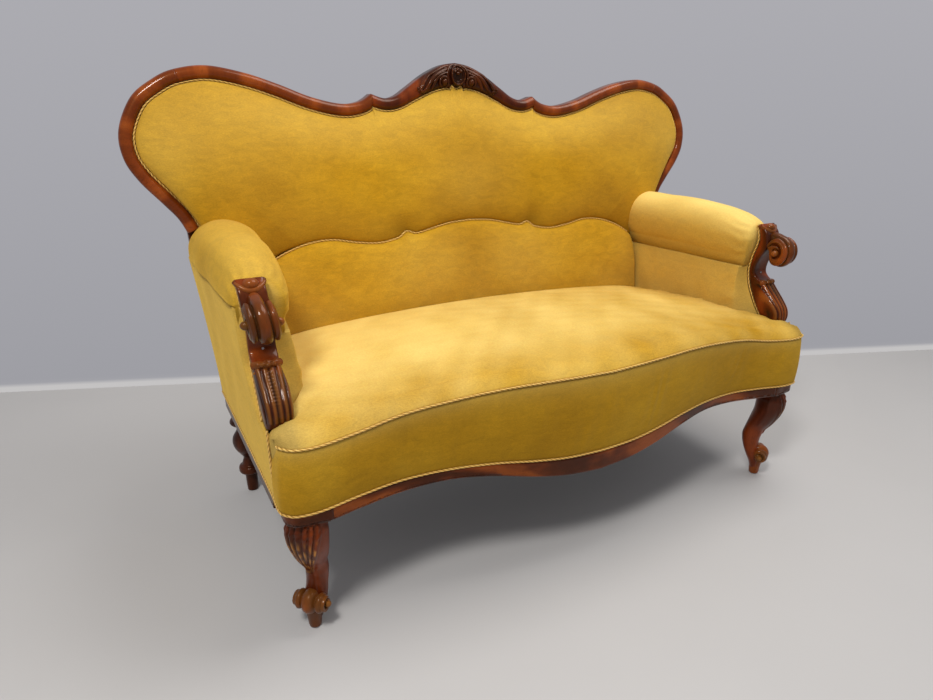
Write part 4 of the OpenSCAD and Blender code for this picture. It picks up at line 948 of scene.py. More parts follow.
# Each column has a share of the half width. At the corners, where the front line turns back, the
# columns bend towards a corner point.
share = seat_line[:, :1] / half_seat
turned = smooth((np.abs(seat_in[:, :1]) - 0.45) / 0.5) * (np.abs(share) > 0.9)
corner_x, corner_y = np.sign(share) * (half_seat - 1.0), seam_y + 14
edge_x, edge_y = drawn_in(seat_line[:, :1]), seat_line[:, 1:2] - seat_line[:, 5:6]
inner_x = mix(seat_line[:, :1] + band_t * seat_in[:, :1], corner_x, turned)
inner_y = mix(seat_line[:, 1:2] + band_t * seat_in[:, 1:2], seam_y - 8, turned)
edge_z = seat_line[:, 4:5]
first_y = mix(mix(inner_y + 8, facing_y, np.abs(share) ** 8), corner_y, turned)
rear_z = seat_rear_h - seat_side_drop * np.abs(share) ** 2
back_y = plane_y(rear_z - 10 * np.abs(share) ** 10) - lumbar_crown
# A column has three runs: level from the back, near the front edge, and over the edge.
flat_steps, near_steps, over_steps = 84, 12, 16
v = np.linspace(0, 1, flat_steps)[None, :]
flat_y = mix(back_y, first_y, v)
flat_x = share * (arm_x(mix(seat_back_y, facing_y, v)) + 5)
t = np.linspace(0, 1, near_steps + 1)[None, 1:]
near_x = mix(flat_x[:, -1:], inner_x, smooth(t * mix(1, 3, np.abs(share) ** 12)))
near_y = mix(flat_y[:, -1:], inner_y, t)
t = np.linspace(0, 1, over_steps + 1)[None, 1:]
over_x, over_y = mix(inner_x, edge_x, t), mix(inner_y, edge_y, t)
x, y = np.hstack([flat_x, near_x, over_x]), np.hstack([flat_y, near_y, over_y])
print("seat grid", x.shape)

# %% Seat surface
# d is the distance to the nearest free edge. The height rises steeply from that edge and then
# flattens, with a soft roll of padding just behind the edge.
beside = (half_seat - np.abs(x)) * 1.3 + 0.03 * np.clip(y - seam_y - 2, 0, None) ** 2
d = np.clip(np.minimum(y - edge_y, beside), 0, None)
t = np.clip(d / (seat_back_y - edge_y), 0, 1)
z = (
    mix(edge_z + seam, rear_z, 1 - (1 - t) ** 3) + 19 * (1 - np.exp(-d / 17)) * (1 - t * t)
    + 10 * np.sin(math.pi * t) - 10 * np.abs(share) ** 10 * t
)
z[:, -1:] = edge_z + seam
free = smooth(d / 60) * smooth((seat_back_y - y) / 60)
sag = sum(dent(x, y, cx, -60, 190, 190) for cx in (-430, 0, 430))
beside_arm = arm_x(y) - np.abs(x)
arm_folds = np.exp(-beside_arm / 28) * np.cos(y / 12 + 2 * ripple(x, y, 31, 90))
uneven = 1.6 * ripple(x, y, 32, 210) + 0.6 * ripple(x, y, 33, 70)
z = z + free * (-4.5 * sag + uneven) + 1.3 * arm_folds * free
corner = np.exp(-((np.abs(x) - 640) / 45) ** 2) * np.exp(-((y + 240) / 60) ** 2)
z = z - 3.0 * corner + 1.2 * corner * np.cos((np.abs(x) + y) / 8)
edge_folds = np.exp(-d / 16) * (1 - np.exp(-d / 4)) * np.cos(x / 6.5 + 1.6 * ripple(x, y, 34, 50))
z = z + 0.7 * edge_folds
# Painted light and wear: the top of the seat is painted paler, more on the left and further from the front
# edge, where light falls on it and where it is sat on. Painted shade darkens it at the back and beside the
# arms.
pale_wear_and_light = (0.62 - 0.22 * x / half_seat) * (0.35 + 0.65 * smooth((y - edge_y - 20) / 190))
pale_wear_and_light = pale_wear_and_light + 0.08 * ripple(x, y, 35, 260) + 0.04 * ripple(x, y, 36, 70)
shade = 0.5 * np.exp(-(seat_back_y - y) / 22) + 0.35 * np.exp(-beside_arm / 16)
low_y = np.minimum(y, mix(y, plane_y(cushion_low) - lumbar_crown, smooth((y - 100) / 100)))
low_z = np.full_like(z, cushion_low)
rows_up = slice(-over_steps, -1)
up = np.linspace(0.1, 0.95, over_steps - 1)[None, :]
low_z[:, rows_up] = np.minimum(mix(cushion_low, edge_z + seam - 1, up), z[:, rows_up] - 1)
low_z[:, -1:] = edge_z + seam - 0.6
top, under = np.stack([x, y, z], -1), np.stack([x, low_y, low_z], -1)
seat = soft_piece("seat_cushion", top, under, fill=0.75, shade=shade, rubbed=pale_wear_and_light)
print("seat", len(seat.data.polygons), "faces")

# %% [markdown]
# ## The band below the seat
#
# A padded band of velvet covers the front rail from the wooden strip up to the seat piping. It is
# pulled tight, so it only shows small upright folds, strongest where the front is hollow.

# %% Front band
band = even(both_sides(front_half), 561, 2)
band_in = inward_of(band)
v = np.linspace(0, 1, 30)[None, :]
run = np.cumsum(np.r_[0, np.linalg.norm(np.diff(band[:, :2], axis=0), axis=1)])[:, None]
bulge = 5 * np.sin(math.pi * v)
fold_share = 0.35 + 0.65 * np.clip(ripple(run, 0, 42, 200), 0, 1)
folds = 0.9 * np.sin(math.pi * v) ** 0.5 * np.cos(run / 7.0 + 2.2 * ripple(run, v * 60, 41, 110)) * fold_share
slack = 1.2 * ripple(run, v * 90, 43, 160) * np.sin(math.pi * v)
out = bulge + folds + slack
bx = mix(band[:, :1], drawn_in(band[:, :1]), v) - out * band_in[:, :1]
by = band[:, 1:2] - out * band_in[:, 1:2] - v * band[:, 5:6]
bz = mix(band[:, 3:4] + seam, band[:, 4:5] - seam, v)
behind = band[:, :2] + band_t * band_in
rear = np.stack(np.broadcast_arrays(
    behind[:, :1], behind[:, 1:2], mix(band[:, 3:4] + seam, front_rail_top, v)
), -1)
# Painted shade darkens the band all over and most at its foot; its top under the seat piping is painted
# paler.
front_band = soft_piece(
    "front_band", np.stack([bx, by, bz], -1), rear, fill=0.9,
    shade=0.22 + 0.3 * np.exp(-v * 6), rubbed=0.30 * np.exp(-(1 - v) * 9),
)
print("front band", len(front_band.data.polygons), "faces")

# %% [markdown]
# ## Arms
#
# Each arm is a padded roll over a lower panel, and both end against the carved facing. The roll's
# section is a squared ring whose height falls towards the facing. The cloth is gathered at the
# facing, so puckers run back from there along the roll.

# %% Arm roll helpers
def squared(v, power=0.9):
    """A sine or cosine made fuller, so that a round section turns squarer."""
    return np.sign(v) * np.abs(v) ** power


stump_y = facing_y + facing_d + gap
roll_full_y = plane_y(arm_seam_h) - 250
crease_z = arm_seam_h + 49
rim_pad = rim_line(piping_d + 3 * gap)
pad_x, inner_rear_x = rim_pad[-1, 0], arm_x(seat_back_y)


def roll_ahead(x, z):
    """How far in front of the back plane the roll ends, behind the pads and the post."""
    behind_pad = np.clip((x - inner_rear_x) / (pad_x - inner_rear_x), 0, 1)
    behind_post = np.clip((x - pad_x) / 20, 0, 1)
    behind_wing = np.clip(1 + (z - rail_line[-1, 1]) / 25, 0, 1)
    at_pads = mix(0.45 * lumbar_crown, 0.6 * pad_foot_t, behind_pad)
    return mix(at_pads, gap + 1.2 * rail_round * behind_wing, behind_post)


def frame_x(y, z):
    """Outer face of the hidden frame, behind the outside panel."""
    return outer_x(y, z) - panel_t - 2 * gap


print("roll ends behind the pads by", round(float(inner_rear_x - pad_x)), "mm")

# %% Both arm rolls
v = np.linspace(0, 1, 120)[:, None]
y0 = mix(stump_y, plane_y(arm_seam_h), v)
inner = arm_x(y0) + mix(14, 0, np.sqrt(v))
outer = outer_x(y0, side_top_z) + 3
forward = np.clip((roll_full_y - y0) / (roll_full_y - stump_y), 0, 1)
low = arm_seam_h - 10 - 4 * forward + gap
high = arm_top - 10 - (arm_front_drop - 5) * forward**2
mid = mix(low, high, 0.46)
full = 1 - 0.14 * np.exp(-v / 0.025) - 0.05 * np.exp(-(1 - v) / 0.04)
# A ring starts below the inner face, goes over the top and ends at the outer crease.
last = -np.degrees(np.arcsin((mid - crease_z - gap) / (mid - low)))
k = np.linspace(0, 1, 76)[None, :]
a = np.radians(mix(215, last, k))
up = squared(np.sin(a))
ring_x = mix(inner, outer, 0.5) + full * (outer - inner) / 2 * squared(np.cos(a))
ring_z = mid + full * up * np.where(up > 0, high - mid, mid - low)
ring_z = np.maximum(ring_z, np.where(a > math.pi / 2, low, crease_z + gap))
back = y0 - stump_y
pucker = np.exp(-back / 42) * (1 - np.exp(-back / 5))
gather_count = 15
radial = np.cos(a * gather_count + 1.2 * ripple(a * 40, back, 51, 60)) * pucker
soft = 1.5 * ripple(ring_x, back, 52, 120) * np.clip(back / 60, 0, 1)
swell = 1.7 * radial + soft
ring_x = ring_x + swell * np.cos(a)
ring_z = ring_z + swell * np.clip(np.sin(a), -0.2, 1)
ones = np.ones_like(v)
tail_x = np.hstack([frame_x(y0, crease_z), frame_x(y0, low)])
tail_z = np.hstack([(crease_z + gap) * ones, low])
x = np.hstack([inner + 12, ring_x, tail_x])
z = np.hstack([low, np.maximum(ring_z, low), tail_z])
y = mix(behind_y(z), plane_y(z) - roll_ahead(x, z), v)
rings = np.stack([x, y, z], -1)
top_facing = np.clip((z - mid) / (high - mid), 0, 1)
gathers = np.hstack([a[:, :1], a, a[:, -1:], a[:, -1:]]) * gather_count
# Painted shade darkens the underside of the roll and the gathers at the facing. Painted light and wear: the
# upward-facing top of the roll is painted pale, fully on the right arm and only a little on the left, where
# light falls and arms rest.
shade = 0.6 * np.exp(-(z - low) / 14) + 0.35 * pucker * (0.5 - 0.5 * np.cos(gathers))
pale_wear_and_light = 0.24 + 0.66 * top_facing**1.4 * (0.9 + 0.1 * ripple(x, y, 53, 150))
for side, name in SIDES:
    wear_and_light_share = 1 if side > 0 else 0.22
    values = {"shade": np.r_[shade.ravel(), 0.5, 0.5], "rubbed": np.r_[pale_wear_and_light.ravel() * wear_and_light_share, 0.5, 0.5]}
    roll = dress(f"arm_roll_{name}", tube(on_side(rings, side)), velvet, values)
print("arm rolls", len(rings), "rings each")

# %% [markdown]
# ## Inside and outside of the arms
#
# The inner panel is thinly padded and tucked down behind the seat. The outside panel is a thin
# webbed and stuffed cover: it starts at the cord above the side rail and sweeps out in a hollow
# curve to the crease under the roll.

# %% Inside arm panels
def arm_panels(kind, face, far, **given):
    """The left and the right panel of one kind, between a face grid and a far grid."""
    for side, name in SIDES:
        soft_piece(f"{kind}_{name}", on_side(face, side), on_side(far, side), **given)


narrow_y = facing_y + facing_d + piping_d + 6
low_arm_z = 402.0
level = np.linspace(0, 1, 44)[None, :]
v = np.r_[np.linspace(0, 0.07, 12), np.linspace(0.085, 1, 84)][:, None]
z = mix(low_arm_z, arm_seam_h - mix(14, 10, np.clip(v * 2, 0, 1)) - gap, level)
near = np.clip(v / 0.08, 0, 1)
y = np.where(
    v <= 0.08, mix(behind_y(z), narrow_y, near),
    mix(narrow_y, plane_y(z) - pad_rear, np.clip((v - 0.08) / 0.92, 0, 1)),
)
x_face = mix(facing_inner_x - 2, arm_x(y) + 2 + 14 * level**3, smooth(near * 1.2))
push = 1.6 * ripple(y, z, 61, 120) * smooth(near) * np.sin(math.pi * level) ** 0.5
draw = 1.3 * np.exp(-np.abs(y - narrow_y) / 45) * np.cos(z / 9 + 2 * ripple(y, z, 62, 80)) * smooth(near)
x_face = x_face - push - draw * np.sin(math.pi * level) ** 0.5
x_far = np.where(
    y <= narrow_y + 1, facing_inner_x - gap,
    np.minimum(frame_x(y, side_rail_top), facing_inner_x + facing_w - piping_d - 2 * gap) - 34 - gap,
)
x_face = np.minimum(x_face, x_far - 1.0)
face, far = np.stack([x_face, y, z], -1), np.stack([x_far, y, z], -1)
# Painted shade darkens the panel low down and under the roll, and the panel is painted a little paler all
# over.
shade = 0.5 * np.exp(-(z - 470) ** 2 / 900) + 0.4 * np.exp(-(arm_seam_h - 12 - z) / 12)
arm_panels("inside_arm", face, far, fill=0.8, shade=shade, rubbed=0.3)
print("inside panels made")

# %% Outside arm panels
low, wrap_rows, wrap_d = corner_band_h + seam, 11, 9.0
z = np.linspace(low, crease_z, 60)[None, :]
start = np.where(z < facing_foot - piping_r, seam_y + gap, np.minimum(behind_y(z), stump_y - 3))
turn = np.linspace(0, math.pi / 2, wrap_rows + 1)[:-1, None]
v = np.linspace(0, 1, 90)[:, None]
y = np.vstack([start + wrap_d * (1 - np.cos(turn)), mix(start + wrap_d, plane_y(z) + rail_back_t, v)])
z = z * np.ones_like(y)
v = np.vstack([0 * turn, v])
rise = (z - low) / (crease_z - low)
puff = np.sin(math.pi * rise) ** 0.6 * np.sin(math.pi * v) ** 0.5
hang = 0.8 * np.cos(y / 9 + 1.6 * ripple(y, z, 65, 90)) * np.exp(-rise / 0.15) * puff
x = outer_x(y, z) + puff * (2.0 + 1.2 * ripple(y, z, 66, 160)) + hang
first_x = np.minimum(facing_inner_x + facing_w - 2.0, x[:wrap_rows])
x[:wrap_rows] = mix(first_x, x[:wrap_rows], np.sin(turn))
face, far = np.stack([x, y, z], -1), np.stack([np.minimum(outer_x(y, z), x) - panel_t, y, z], -1)
# Painted shade darkens the panel under the crease, and the panel is painted a little paler all over.
shade = 0.35 * np.exp(-(crease_z - z) / 14)
arm_panels("outside_arm", face, far, fill=0.4, shade=shade, rubbed=0.28)
print("outside panels made")

# %% [markdown]
# ## Outside back and the flat cloths
#
# The rear of the sofa is closed by one stretched panel of velvet, slightly hollow between its
# edges. Inside, hessian lies over the springs and over the webbing of the back, and a black dust
# cloth closes the underside. These are single stretched sheets.

# %% Outside back
def fan(foot_low, widen, reach, low, rows=40, columns=150):
    """Half grid of a panel that fills the back frame from its lower edge up to the rim."""
    s = np.linspace(0, 1, columns)
    rim = at_share(rim_line(reach), s)
    middle_row = at_share(foot_line, s)
    foot_half = middle_row[-1, 0]
    base = np.stack([foot_low * middle_row[:, 0] / foot_half, np.full(columns, low)], 1)
    bend = np.stack([widen * middle_row[:, 0], middle_row[:, 1]], 1)
    share_up = np.linspace(0, 1, rows)[None, :, None]
    lower = mix(base[:, None], bend[:, None], np.clip(share_up * 2, 0, 1))
    higher = mix(bend[:, None], rim[:, None], np.clip(share_up * 2 - 1, 0, 1))
    return np.where(share_up < 0.5, lower, higher)


q = fan(frame_rear_half - panel_t, 1.06, 8 - rail_w, side_rail_top)
row, column = np.linspace(0, 1, q.shape[1])[None, :], np.linspace(0, 1, q.shape[0])[:, None]
free = np.sin(math.pi * row) ** 0.6 * (1 - column**6)
x, z = q[..., 0], q[..., 1]
inner = np.full(free.shape, -rail_back_t - gap)
outer = inner - 2 + free * (0.5 * ripple(x, z, 71, 210) + 0.5)
face, far = (mirror_grid(on_back(q, d)) for d in (outer, inner))
# The panel is painted a little paler away from its edges.
outside = soft_piece("outside_back", face, far, fill=0.3, rubbed=mirror_values(0.15 * free))
print("outside back", len(outside.data.polygons), "faces")

# %% Hessian and dust cloth
dust_t, hessian_half = 1.2, 600.0


def cloth_sheet(node, top, thick, finish, drop=(0, 0, -1)):
    """A stretched sheet. Its area is the sum of its faces."""
    piece = dress(node, slab(top, top + thick * np.array(drop, float)), finish)
    a, b = top[1:, 1:] - top[:-1, :-1], top[1:, :-1] - top[:-1, 1:]
    area = np.linalg.norm(np.cross(a, b), axis=-1).sum() / 2 * MM * MM


def across_well(line, inward, inset):
    """The front edge of a cloth, set in from the front line, as columns x and y."""
    return line[:, :1] + inset * inward[:, :1], line[:, 1:2] + inset * inward[:, 1:2]


v = np.linspace(0, 1, 50)[None, :]
line, line_in = seat_line[12:-12], seat_in[12:-12]
x0, y0 = across_well(line, line_in, band_t + gap)
ends = plane_y(front_rail_top + 1) - gap - 60 * np.abs(line[:, :1] / half_seat) ** 6
y = mix(y0, ends, v)
limit = arm_x(np.clip(y, facing_y, seat_back_y)) - 1
rear_half = np.minimum(limit, lumbar_shares[-1][0] * half_w + 4)
x = line[:, :1] / np.abs(line[:, 0]).max() * mix(np.abs(x0).max(), rear_half, smooth(v * 8))
x = np.clip(x, -limit, limit)
sheet_top = np.stack([x, y, np.full_like(x, front_rail_top + gap + hessian_t)], -1)
cloth_sheet("seat_hessian", sheet_top, hessian_t, hessian)
q = fan(hessian_half, 1.0, rebate_w - hessian_t, lumbar_low, rows=20, columns=80)
sheet_top = mirror_grid(on_back(q, np.full(q.shape[:2], hessian_front)))
cloth_sheet("back_hessian", sheet_top, hessian_t, hessian, drop=(0, 1, 0))
x0, y0 = across_well(front[inner_corner][::4], front_in[inner_corner][::4], seat_rail_t + gap)
ends = plane_y(corner_apron_h) - gap
y = mix(y0, ends, v)
x = x0 / np.abs(x0).max() * mix(np.abs(x0).max(), side_x(ends) - seat_rail_t - gap, smooth(v * 3))
x = np.clip(x, -(side_x(y) - seat_rail_t - gap), side_x(y) - seat_rail_t - gap)
belly = 3 * np.sin(math.pi * v) * (1 - (x / half_seat) ** 2)
sheet_top = np.stack([x, y, apron_h + apron_rise + gap + dust_t - belly], -1)
cloth_sheet("dust_cover", sheet_top, dust_t, dust_cloth)

# %% [markdown]
# ## Front legs
#
# A cabriole leg swells at the knee, draws in to a slim ankle and ends in a scrolled toe on a short
# peg. A carver cuts upright flutes over the knee, which draw together to a point below it. We start
# from the leg's plain rings and push each point in or out by a pattern of two parameters, the
# height and the way round the leg. The toe is a rolled ribbon: its radius follows a spiral, and its
# section across has a bold roll in the middle between two lower ones.

# %% Leg surface
knee_w, ankle_w, knee_lean = 100.0, 43.0, 14.0
leg_x, leg_y = half_seat - ankle_w, seam_y - ankle_w / 4
leg_h = corner_apron_h
leg_shares = [
    [1.00, 0.50, -0.26, 1.00], [0.86, 0.52, -0.27, 0.96], [0.76, 0.47, -0.29, 0.80],
    [0.64, 0.30, -0.39, 0.45], [0.53, 0.08, -0.49, 0.06], [0.43, -0.04, -0.52, 0.00],
    [0.33, -0.06, -0.48, 0.02], [0.23, 0.02, -0.38, 0.10], [0.146, 0.00, -0.27, -0.05],
    [0.087, 0.00, -0.22, -0.25],
]


def knee_relief(t, a, top=0.985, tip=0.47, flutes=7):
    """Upright flutes on the front of the knee. They crowd together towards the tip, and each ridge
    is a cosine of the angle measured in the width that is left at that height."""
    up = np.clip((t - tip) / (top - tip), 0, 1)
    half = 0.22 + 1.05 * up**0.8
    share = np.clip(np.abs(a) / half, 0, 1.2) * np.sign(a)
    ridge = np.abs(np.cos(share * math.pi * flutes / 2)) ** 0.8
    window = smooth((1.02 - np.abs(share)) / 0.08) * smooth(up / 0.06) * smooth((top + 0.01 - t) / 0.02)
    lip = np.exp(-((np.abs(share) - 1.0) / 0.07) ** 2) * smooth(up / 0.1) * smooth((top - t) / 0.03)
    frill = 0.7 * np.cos(t * math.tau * 17 + 9 * share) * smooth((t - 0.84) / 0.08) * window
    return window * (5.2 * ridge - 2.2) + 2.4 * lip + frill, window * ridge, window * (1 - ridge)


def leg_rings(count_t=240, around=144):
    """Rings of the shaft, with the flutes on the knee; high and low mark ridges and hollows."""
    table = curve(leg_shares, 24)
    t = np.linspace(table[-1, 0], 1, count_t)
    order = np.argsort(table[:, 0])
    outer, inner, wide = (np.interp(t, table[order, 0], table[order, c])[:, None] for c in (1, 2, 3))
    z = t[:, None] * leg_h
    mid, deep = (outer + inner) / 2 * knee_w, (outer - inner) / 2 * knee_w
    wide = mix(ankle_w, 0.88 * knee_w, wide) / 2
    a = np.linspace(-math.pi, math.pi, around, endpoint=False)[None, :]
    tt = t[:, None] * np.ones_like(a)
    relief, high, low = knee_relief(tt, a * np.ones_like(tt))
    side = np.exp(-((np.abs(a) - 1.75) / 0.16) ** 2) * smooth((tt - 0.55) / 0.1) * smooth((0.97 - tt) / 0.05)
    relief = relief + 1.8 * side
    base_in = 3.2 * smooth((tt - 0.45) / 0.1) + 6.5 * smooth((tt - 0.90) / 0.10)
    x = mid + (deep + relief - base_in) * squared(np.cos(a))
    y = (wide + relief - base_in) * squared(np.sin(a))
    return np.stack([x, y, z * np.ones_like(a)], -1), high * smooth((0.93 - tt) / 0.06), low


print("leg table of", len(leg_shares), "rows,", round(leg_h), "mm high")

# %% [markdown]
# ## Small forms of a carver
#
# The same few forms come back on the legs, the facings and the crest: a turning, a ball, a rolled
# bar and a scroll. Each is a surface of two parameters, one along the form and one round it, so
# each gets a helper that any carving can use.


# %% Turned and rolled forms
def lathe(profile, around, centre, axis, up):
    """Surface of revolution. The profile's rows are (place along the axis, radius), and up is any
    direction across the axis."""
    along, radius = (np.asarray(profile, float)[:, c, None, None] for c in (0, 1))
    axis = unit(np.asarray(axis, float))
    u = unit(np.cross(axis, up))
    v = np.cross(axis, u)
    a = np.linspace(0, math.tau, around, endpoint=False)[:, None]
    return np.asarray(centre) + along * axis + radius * (np.cos(a) * u + np.sin(a) * v)


def ball(centre, radius, squash=(1, 1, 1), rings=12, around=18):
    """A ball, or an egg where squash differs from one."""
    a = np.linspace(0.04, math.pi - 0.04, rings)
    grid = lathe(np.stack([-np.cos(a), np.sin(a)], 1), around, (0, 0, 0), (0, 0, 1), (1, 0, 0))
    return grid * np.asarray(squash) * radius + np.asarray(centre)


def rolled(route, radii, around=16, reference=(0, 0, 1)):
    """A round bar of changing thickness along a route."""
    t = unit(np.gradient(route, axis=0))
    u = unit(np.cross(t, np.asarray(reference, float)))
    v = np.cross(t, u)
    a = np.linspace(0, math.tau, around, endpoint=False)[None, :, None]
    r = np.broadcast_to(radii, len(route))[:, None, None]
    return route[:, None] + r * (np.cos(a) * u[:, None] + np.sin(a) * v[:, None])


print("turned and rolled forms ready")


# %% Scroll forms
def spiral_reach(reach, a):
    """Radius of a scroll at an angle, from a table of (degrees, radius)."""
    line = curve(reach, 8)
    return np.interp(np.degrees(a), line[:, 0], line[:, 1])


def scroll_roll(centre, reach, section, across, back, around=160, side_limit=1e3):
    """A ribbon rolled up on itself. Its radius depends on the angle by reach, and its height across
    the ribbon by section, which lists (place, share of the radius). Angles start at the back and
    turn over the top to the front. Outside the middle band no radius passes the side limit."""
    centre, across, back = (np.asarray(v, float) for v in (centre, across, back))
    a = np.linspace(0, math.tau, around, endpoint=False)
    line = curve(section, 5)
    r = spiral_reach(reach, a)[None, :]
    r = np.where(np.abs(line[:, :1]) > 12.4, np.minimum(r, side_limit), r) * line[:, 1:2]
    flat = np.cos(a)[None, :, None] * back + np.sin(a)[None, :, None] * np.array([0, 0, 1.0])
    return centre + line[:, :1, None] * across + r[..., None] * flat


def scroll_side(centre, reach, share, across, back, lift, depth, rings=44, around=160, limit=1e3):
    """The end of a rolled ribbon: a face with a groove that starts outside at the back and winds
    inwards to the eye as the angle turns, so that the ribbon's edge stands as a spiral."""
    centre, across, back = (np.asarray(v, float) for v in (centre, across, back))
    a = np.linspace(0, math.tau, around, endpoint=False)[None, :]
    r = np.linspace(1, 0.02, rings)[:, None]
    path = 0.42 + 0.60 * np.exp(-(a - 0.35) / 1.05)
    groove = np.exp(-(((r - path) / 0.10) ** 2)) + smooth((0.42 - r) / 0.08) * 0.8
    rim = (1 - smooth((r - 0.88) / 0.12)) * (0.75 + 0.25 * r)
    out = lift * rim - depth * np.clip(groove, 0, 1)
    radius = share * np.minimum(spiral_reach(reach, a), limit) * r
    flat = np.cos(a)[..., None] * back + np.sin(a)[..., None] * np.array([0, 0, 1.0])
    surface = centre + out[..., None] * across + radius[..., None] * flat
    # The groove mask is used to darken the spiral groove as painted shade.
    return surface, np.clip(groove, 0, 1) * (r < 0.98)


print("scroll forms ready")


# %% Carving helpers
def carved_part(grid, worn, hollow=0.0):
    """One closed surface of a carving, and how worn and how hollow each of its points is. The two
    end points of the surface count as neither."""
    surface = tube(grid)
    size = grid.shape[:2]
    ends = np.zeros(len(surface[0]) - size[0] * size[1])
    return surface, *(np.r_[np.broadcast_to(value, size).ravel(), ends] for value in (worn, hollow))


def carved_piece(node, parts, material):
    """One piece from several carved parts, with the values worn and hollow on its points."""
    surfaces, worn, hollow = zip(*parts)
    values = {"worn": np.concatenate(worn), "hollow": np.concatenate(hollow)}
    return dress(node, merged(surfaces), material, values)


print("carving helpers ready")


# %% Both front legs
def turned_diagonal(points, side):
    """From the leg's own frame, x outwards on the corner's diagonal, to the sofa. The knee leans a
    little inwards from the corner."""
    c = s = math.sqrt(0.5)
    lean_in = knee_lean * smooth((points[..., 2] / leg_h - 0.30) / 0.5)
    x = points[..., 0] * c + points[..., 1] * s + leg_x - lean_in
    y = points[..., 1] * c - points[..., 0] * s + leg_y
    return np.stack([side * x, y, points[..., 2]], -1)


# The block above the leg carries the strip of the front rail round the corner.
on_block = front[:, 0] >= front[inner_corner][-1, 0]
block_in = front_in[on_block]
set_in = 6.0 * smooth((front[on_block, :1] - front[inner_corner][-1, 0]) / 40)
block_line = front[on_block].copy()
block_line[:, :2] += set_in * block_in
block_rear = seam_y + 33
shaft, ridges, hollows = leg_rings()
toe = np.array([-3.0, 0.0, 0.235 * leg_h])
toe_reach = [
    [0, 17], [40, 22], [75, 26], [110, 28], [150, 28.5], [190, 28], [230, 26], [270, 22], [310, 18],
    [360, 17],
]
toe_section = [
    [-22, 0.50], [-30, 0.52], [-28, 0.70], [-23, 0.80], [-18, 0.74], [-14.5, 0.60], [-10, 0.86],
    [-5, 0.97], [0, 1.0], [5, 0.97], [10, 0.86], [14.5, 0.60], [18, 0.74], [23, 0.80], [28, 0.70],
    [30, 0.52], [22, 0.50],
]
foot_profile = [[0, 11], [1.5, 12.4], [6, 13.2], [20, 14.6], [34, 16.6], [46, 18.5], [56, 17]]
strip_profile = (
    [[9, 0, 0]] + edge + [[0, s, -seam * s] for s in np.linspace(0.2, 1, 7)] + [[9, 1, -seam]]
)


def worn_places(grid):
    """Where the polish of the knee is worn through: uneven patches on its lower half."""
    rise = grid[..., 2] / leg_h
    patches = 0.45 + 0.6 * ripple(grid[..., 1], grid[..., 2], 81, 16)
    return np.clip(patches, 0, 1) * smooth((0.9 - rise) / 0.12)


def leg_surfaces(side):
    """Shaft, scrolled toe, peg foot and the block that the seat rails meet, each as (grid, worn,
    hollow). The left leg is worn more than the right one."""
    rubbed_through = (0.85 if side < 0 else 0.4) * ridges**5 * worn_places(shaft)
    # The hollows between the flutes are darkened as painted shade.
    yield turned_diagonal(shaft, side), rubbed_through, 0.85 * hollows
    back, across = (-1, 0, 0), (0, 1, 0)
    yield turned_diagonal(scroll_roll(toe, toe_reach, toe_section, across, back), side), 0.12, 0.0
    for s in (-1, 1):
        disc, groove = scroll_side(toe + [0, s * 29.5, 0], toe_reach, 0.66, (0, s, 0), back, 6.0, 5.0)
        yield turned_diagonal(disc, side), 0.15, 0.7 * groove
        yield turned_diagonal(ball(toe + [-1, s * 35.5, 0], 7.0), side), 0.25, 0.0
    foot = lathe(curve(foot_profile, 5), 48, (-7, 0, 0), (0, 0, 1), (1, 0, 0))
    yield turned_diagonal(foot, side), 0.08, 0.0
    outline = np.vstack([
        block_line[:, :2], [[side_x(block_rear), block_rear], [front[inner_corner][-1, 0] + 0.6, block_rear]],
    ])
    towards = unit(outline.mean(0) - outline) * [1, 0.8]
    block = np.stack([
        np.column_stack([outline + inset * towards, np.full(len(outline), z)])
        for z, inset in (
            (leg_h + 1, 7), (corner_band_h - seam - 1, 7), (corner_band_h - seam, band_t + 2),
            (front_rail_top, band_t + 2),
        )
    ])
    for grid in (along_front(strip_profile, block_line, block_in), block):
        yield on_side(grid, side), 0.0, 0.0


for side, name in SIDES:
    parts = [carved_part(*surface) for surface in leg_surfaces(side)]
    leg = carved_piece(f"front_leg_{name}", parts, carved_wood)
    leg.data.materials.append(figured_veneer)
    for face in leg.data.polygons:
        face.material_index = int(face.center[2] > (leg_h - 0.5) * MM)
print("front legs", len(leg.data.polygons), "faces each")

# %% [markdown]
# ## Rear legs
#
# The rear legs are plain turnings, stained dark: a peg, a disc, a slim neck, a ball and a ring. A
# turning is a profile spun round its axis, and its rings are cut crisply with the corner of a tool.

# %% Rear legs
foot_r, ball_r, disc_r, neck_r, ring_r = 15.0, 37.0, 30.0, 15.0, 38.0
turning = np.array([
    [0.00, foot_r * 0.93], [0.02, foot_r], [0.19, foot_r * 1.1], [0.205, disc_r * 0.8], [0.22, disc_r * 0.97],
    [0.25, disc_r], [0.28, disc_r * 0.93], [0.295, disc_r * 0.7], [0.33, neck_r * 1.2], [0.38, neck_r],
    [0.43, neck_r * 1.5], [0.49, ball_r * 0.88], [0.55, ball_r], [0.61, ball_r * 0.95], [0.67, ball_r * 0.7],
    [0.71, neck_r * 1.3], [0.735, neck_r * 1.3], [0.755, ring_r * 0.85], [0.78, ring_r], [0.81, ring_r * 0.9],
    [0.83, foot_r * 1.5], [1.00, foot_r * 1.5],
])
rear_leg_x, rear_leg_y = frame_rear_half - 43, rear_y - 12
profile = curve(turning, 6) * [leg_h - gap, 1]
profile = np.vstack([profile, [[leg_h - gap, 9], [leg_h + 40 - gap, 9]]])
for side, name in SIDES:
    grid = lathe(profile, 72, (side * rear_leg_x, rear_leg_y, 0), (0, 0, 1), (1, 0, 0))
    rear_leg = dress(f"rear_leg_{name}", tube(grid), dark_wood)
print("rear legs", len(rear_leg.data.polygons), "faces each")

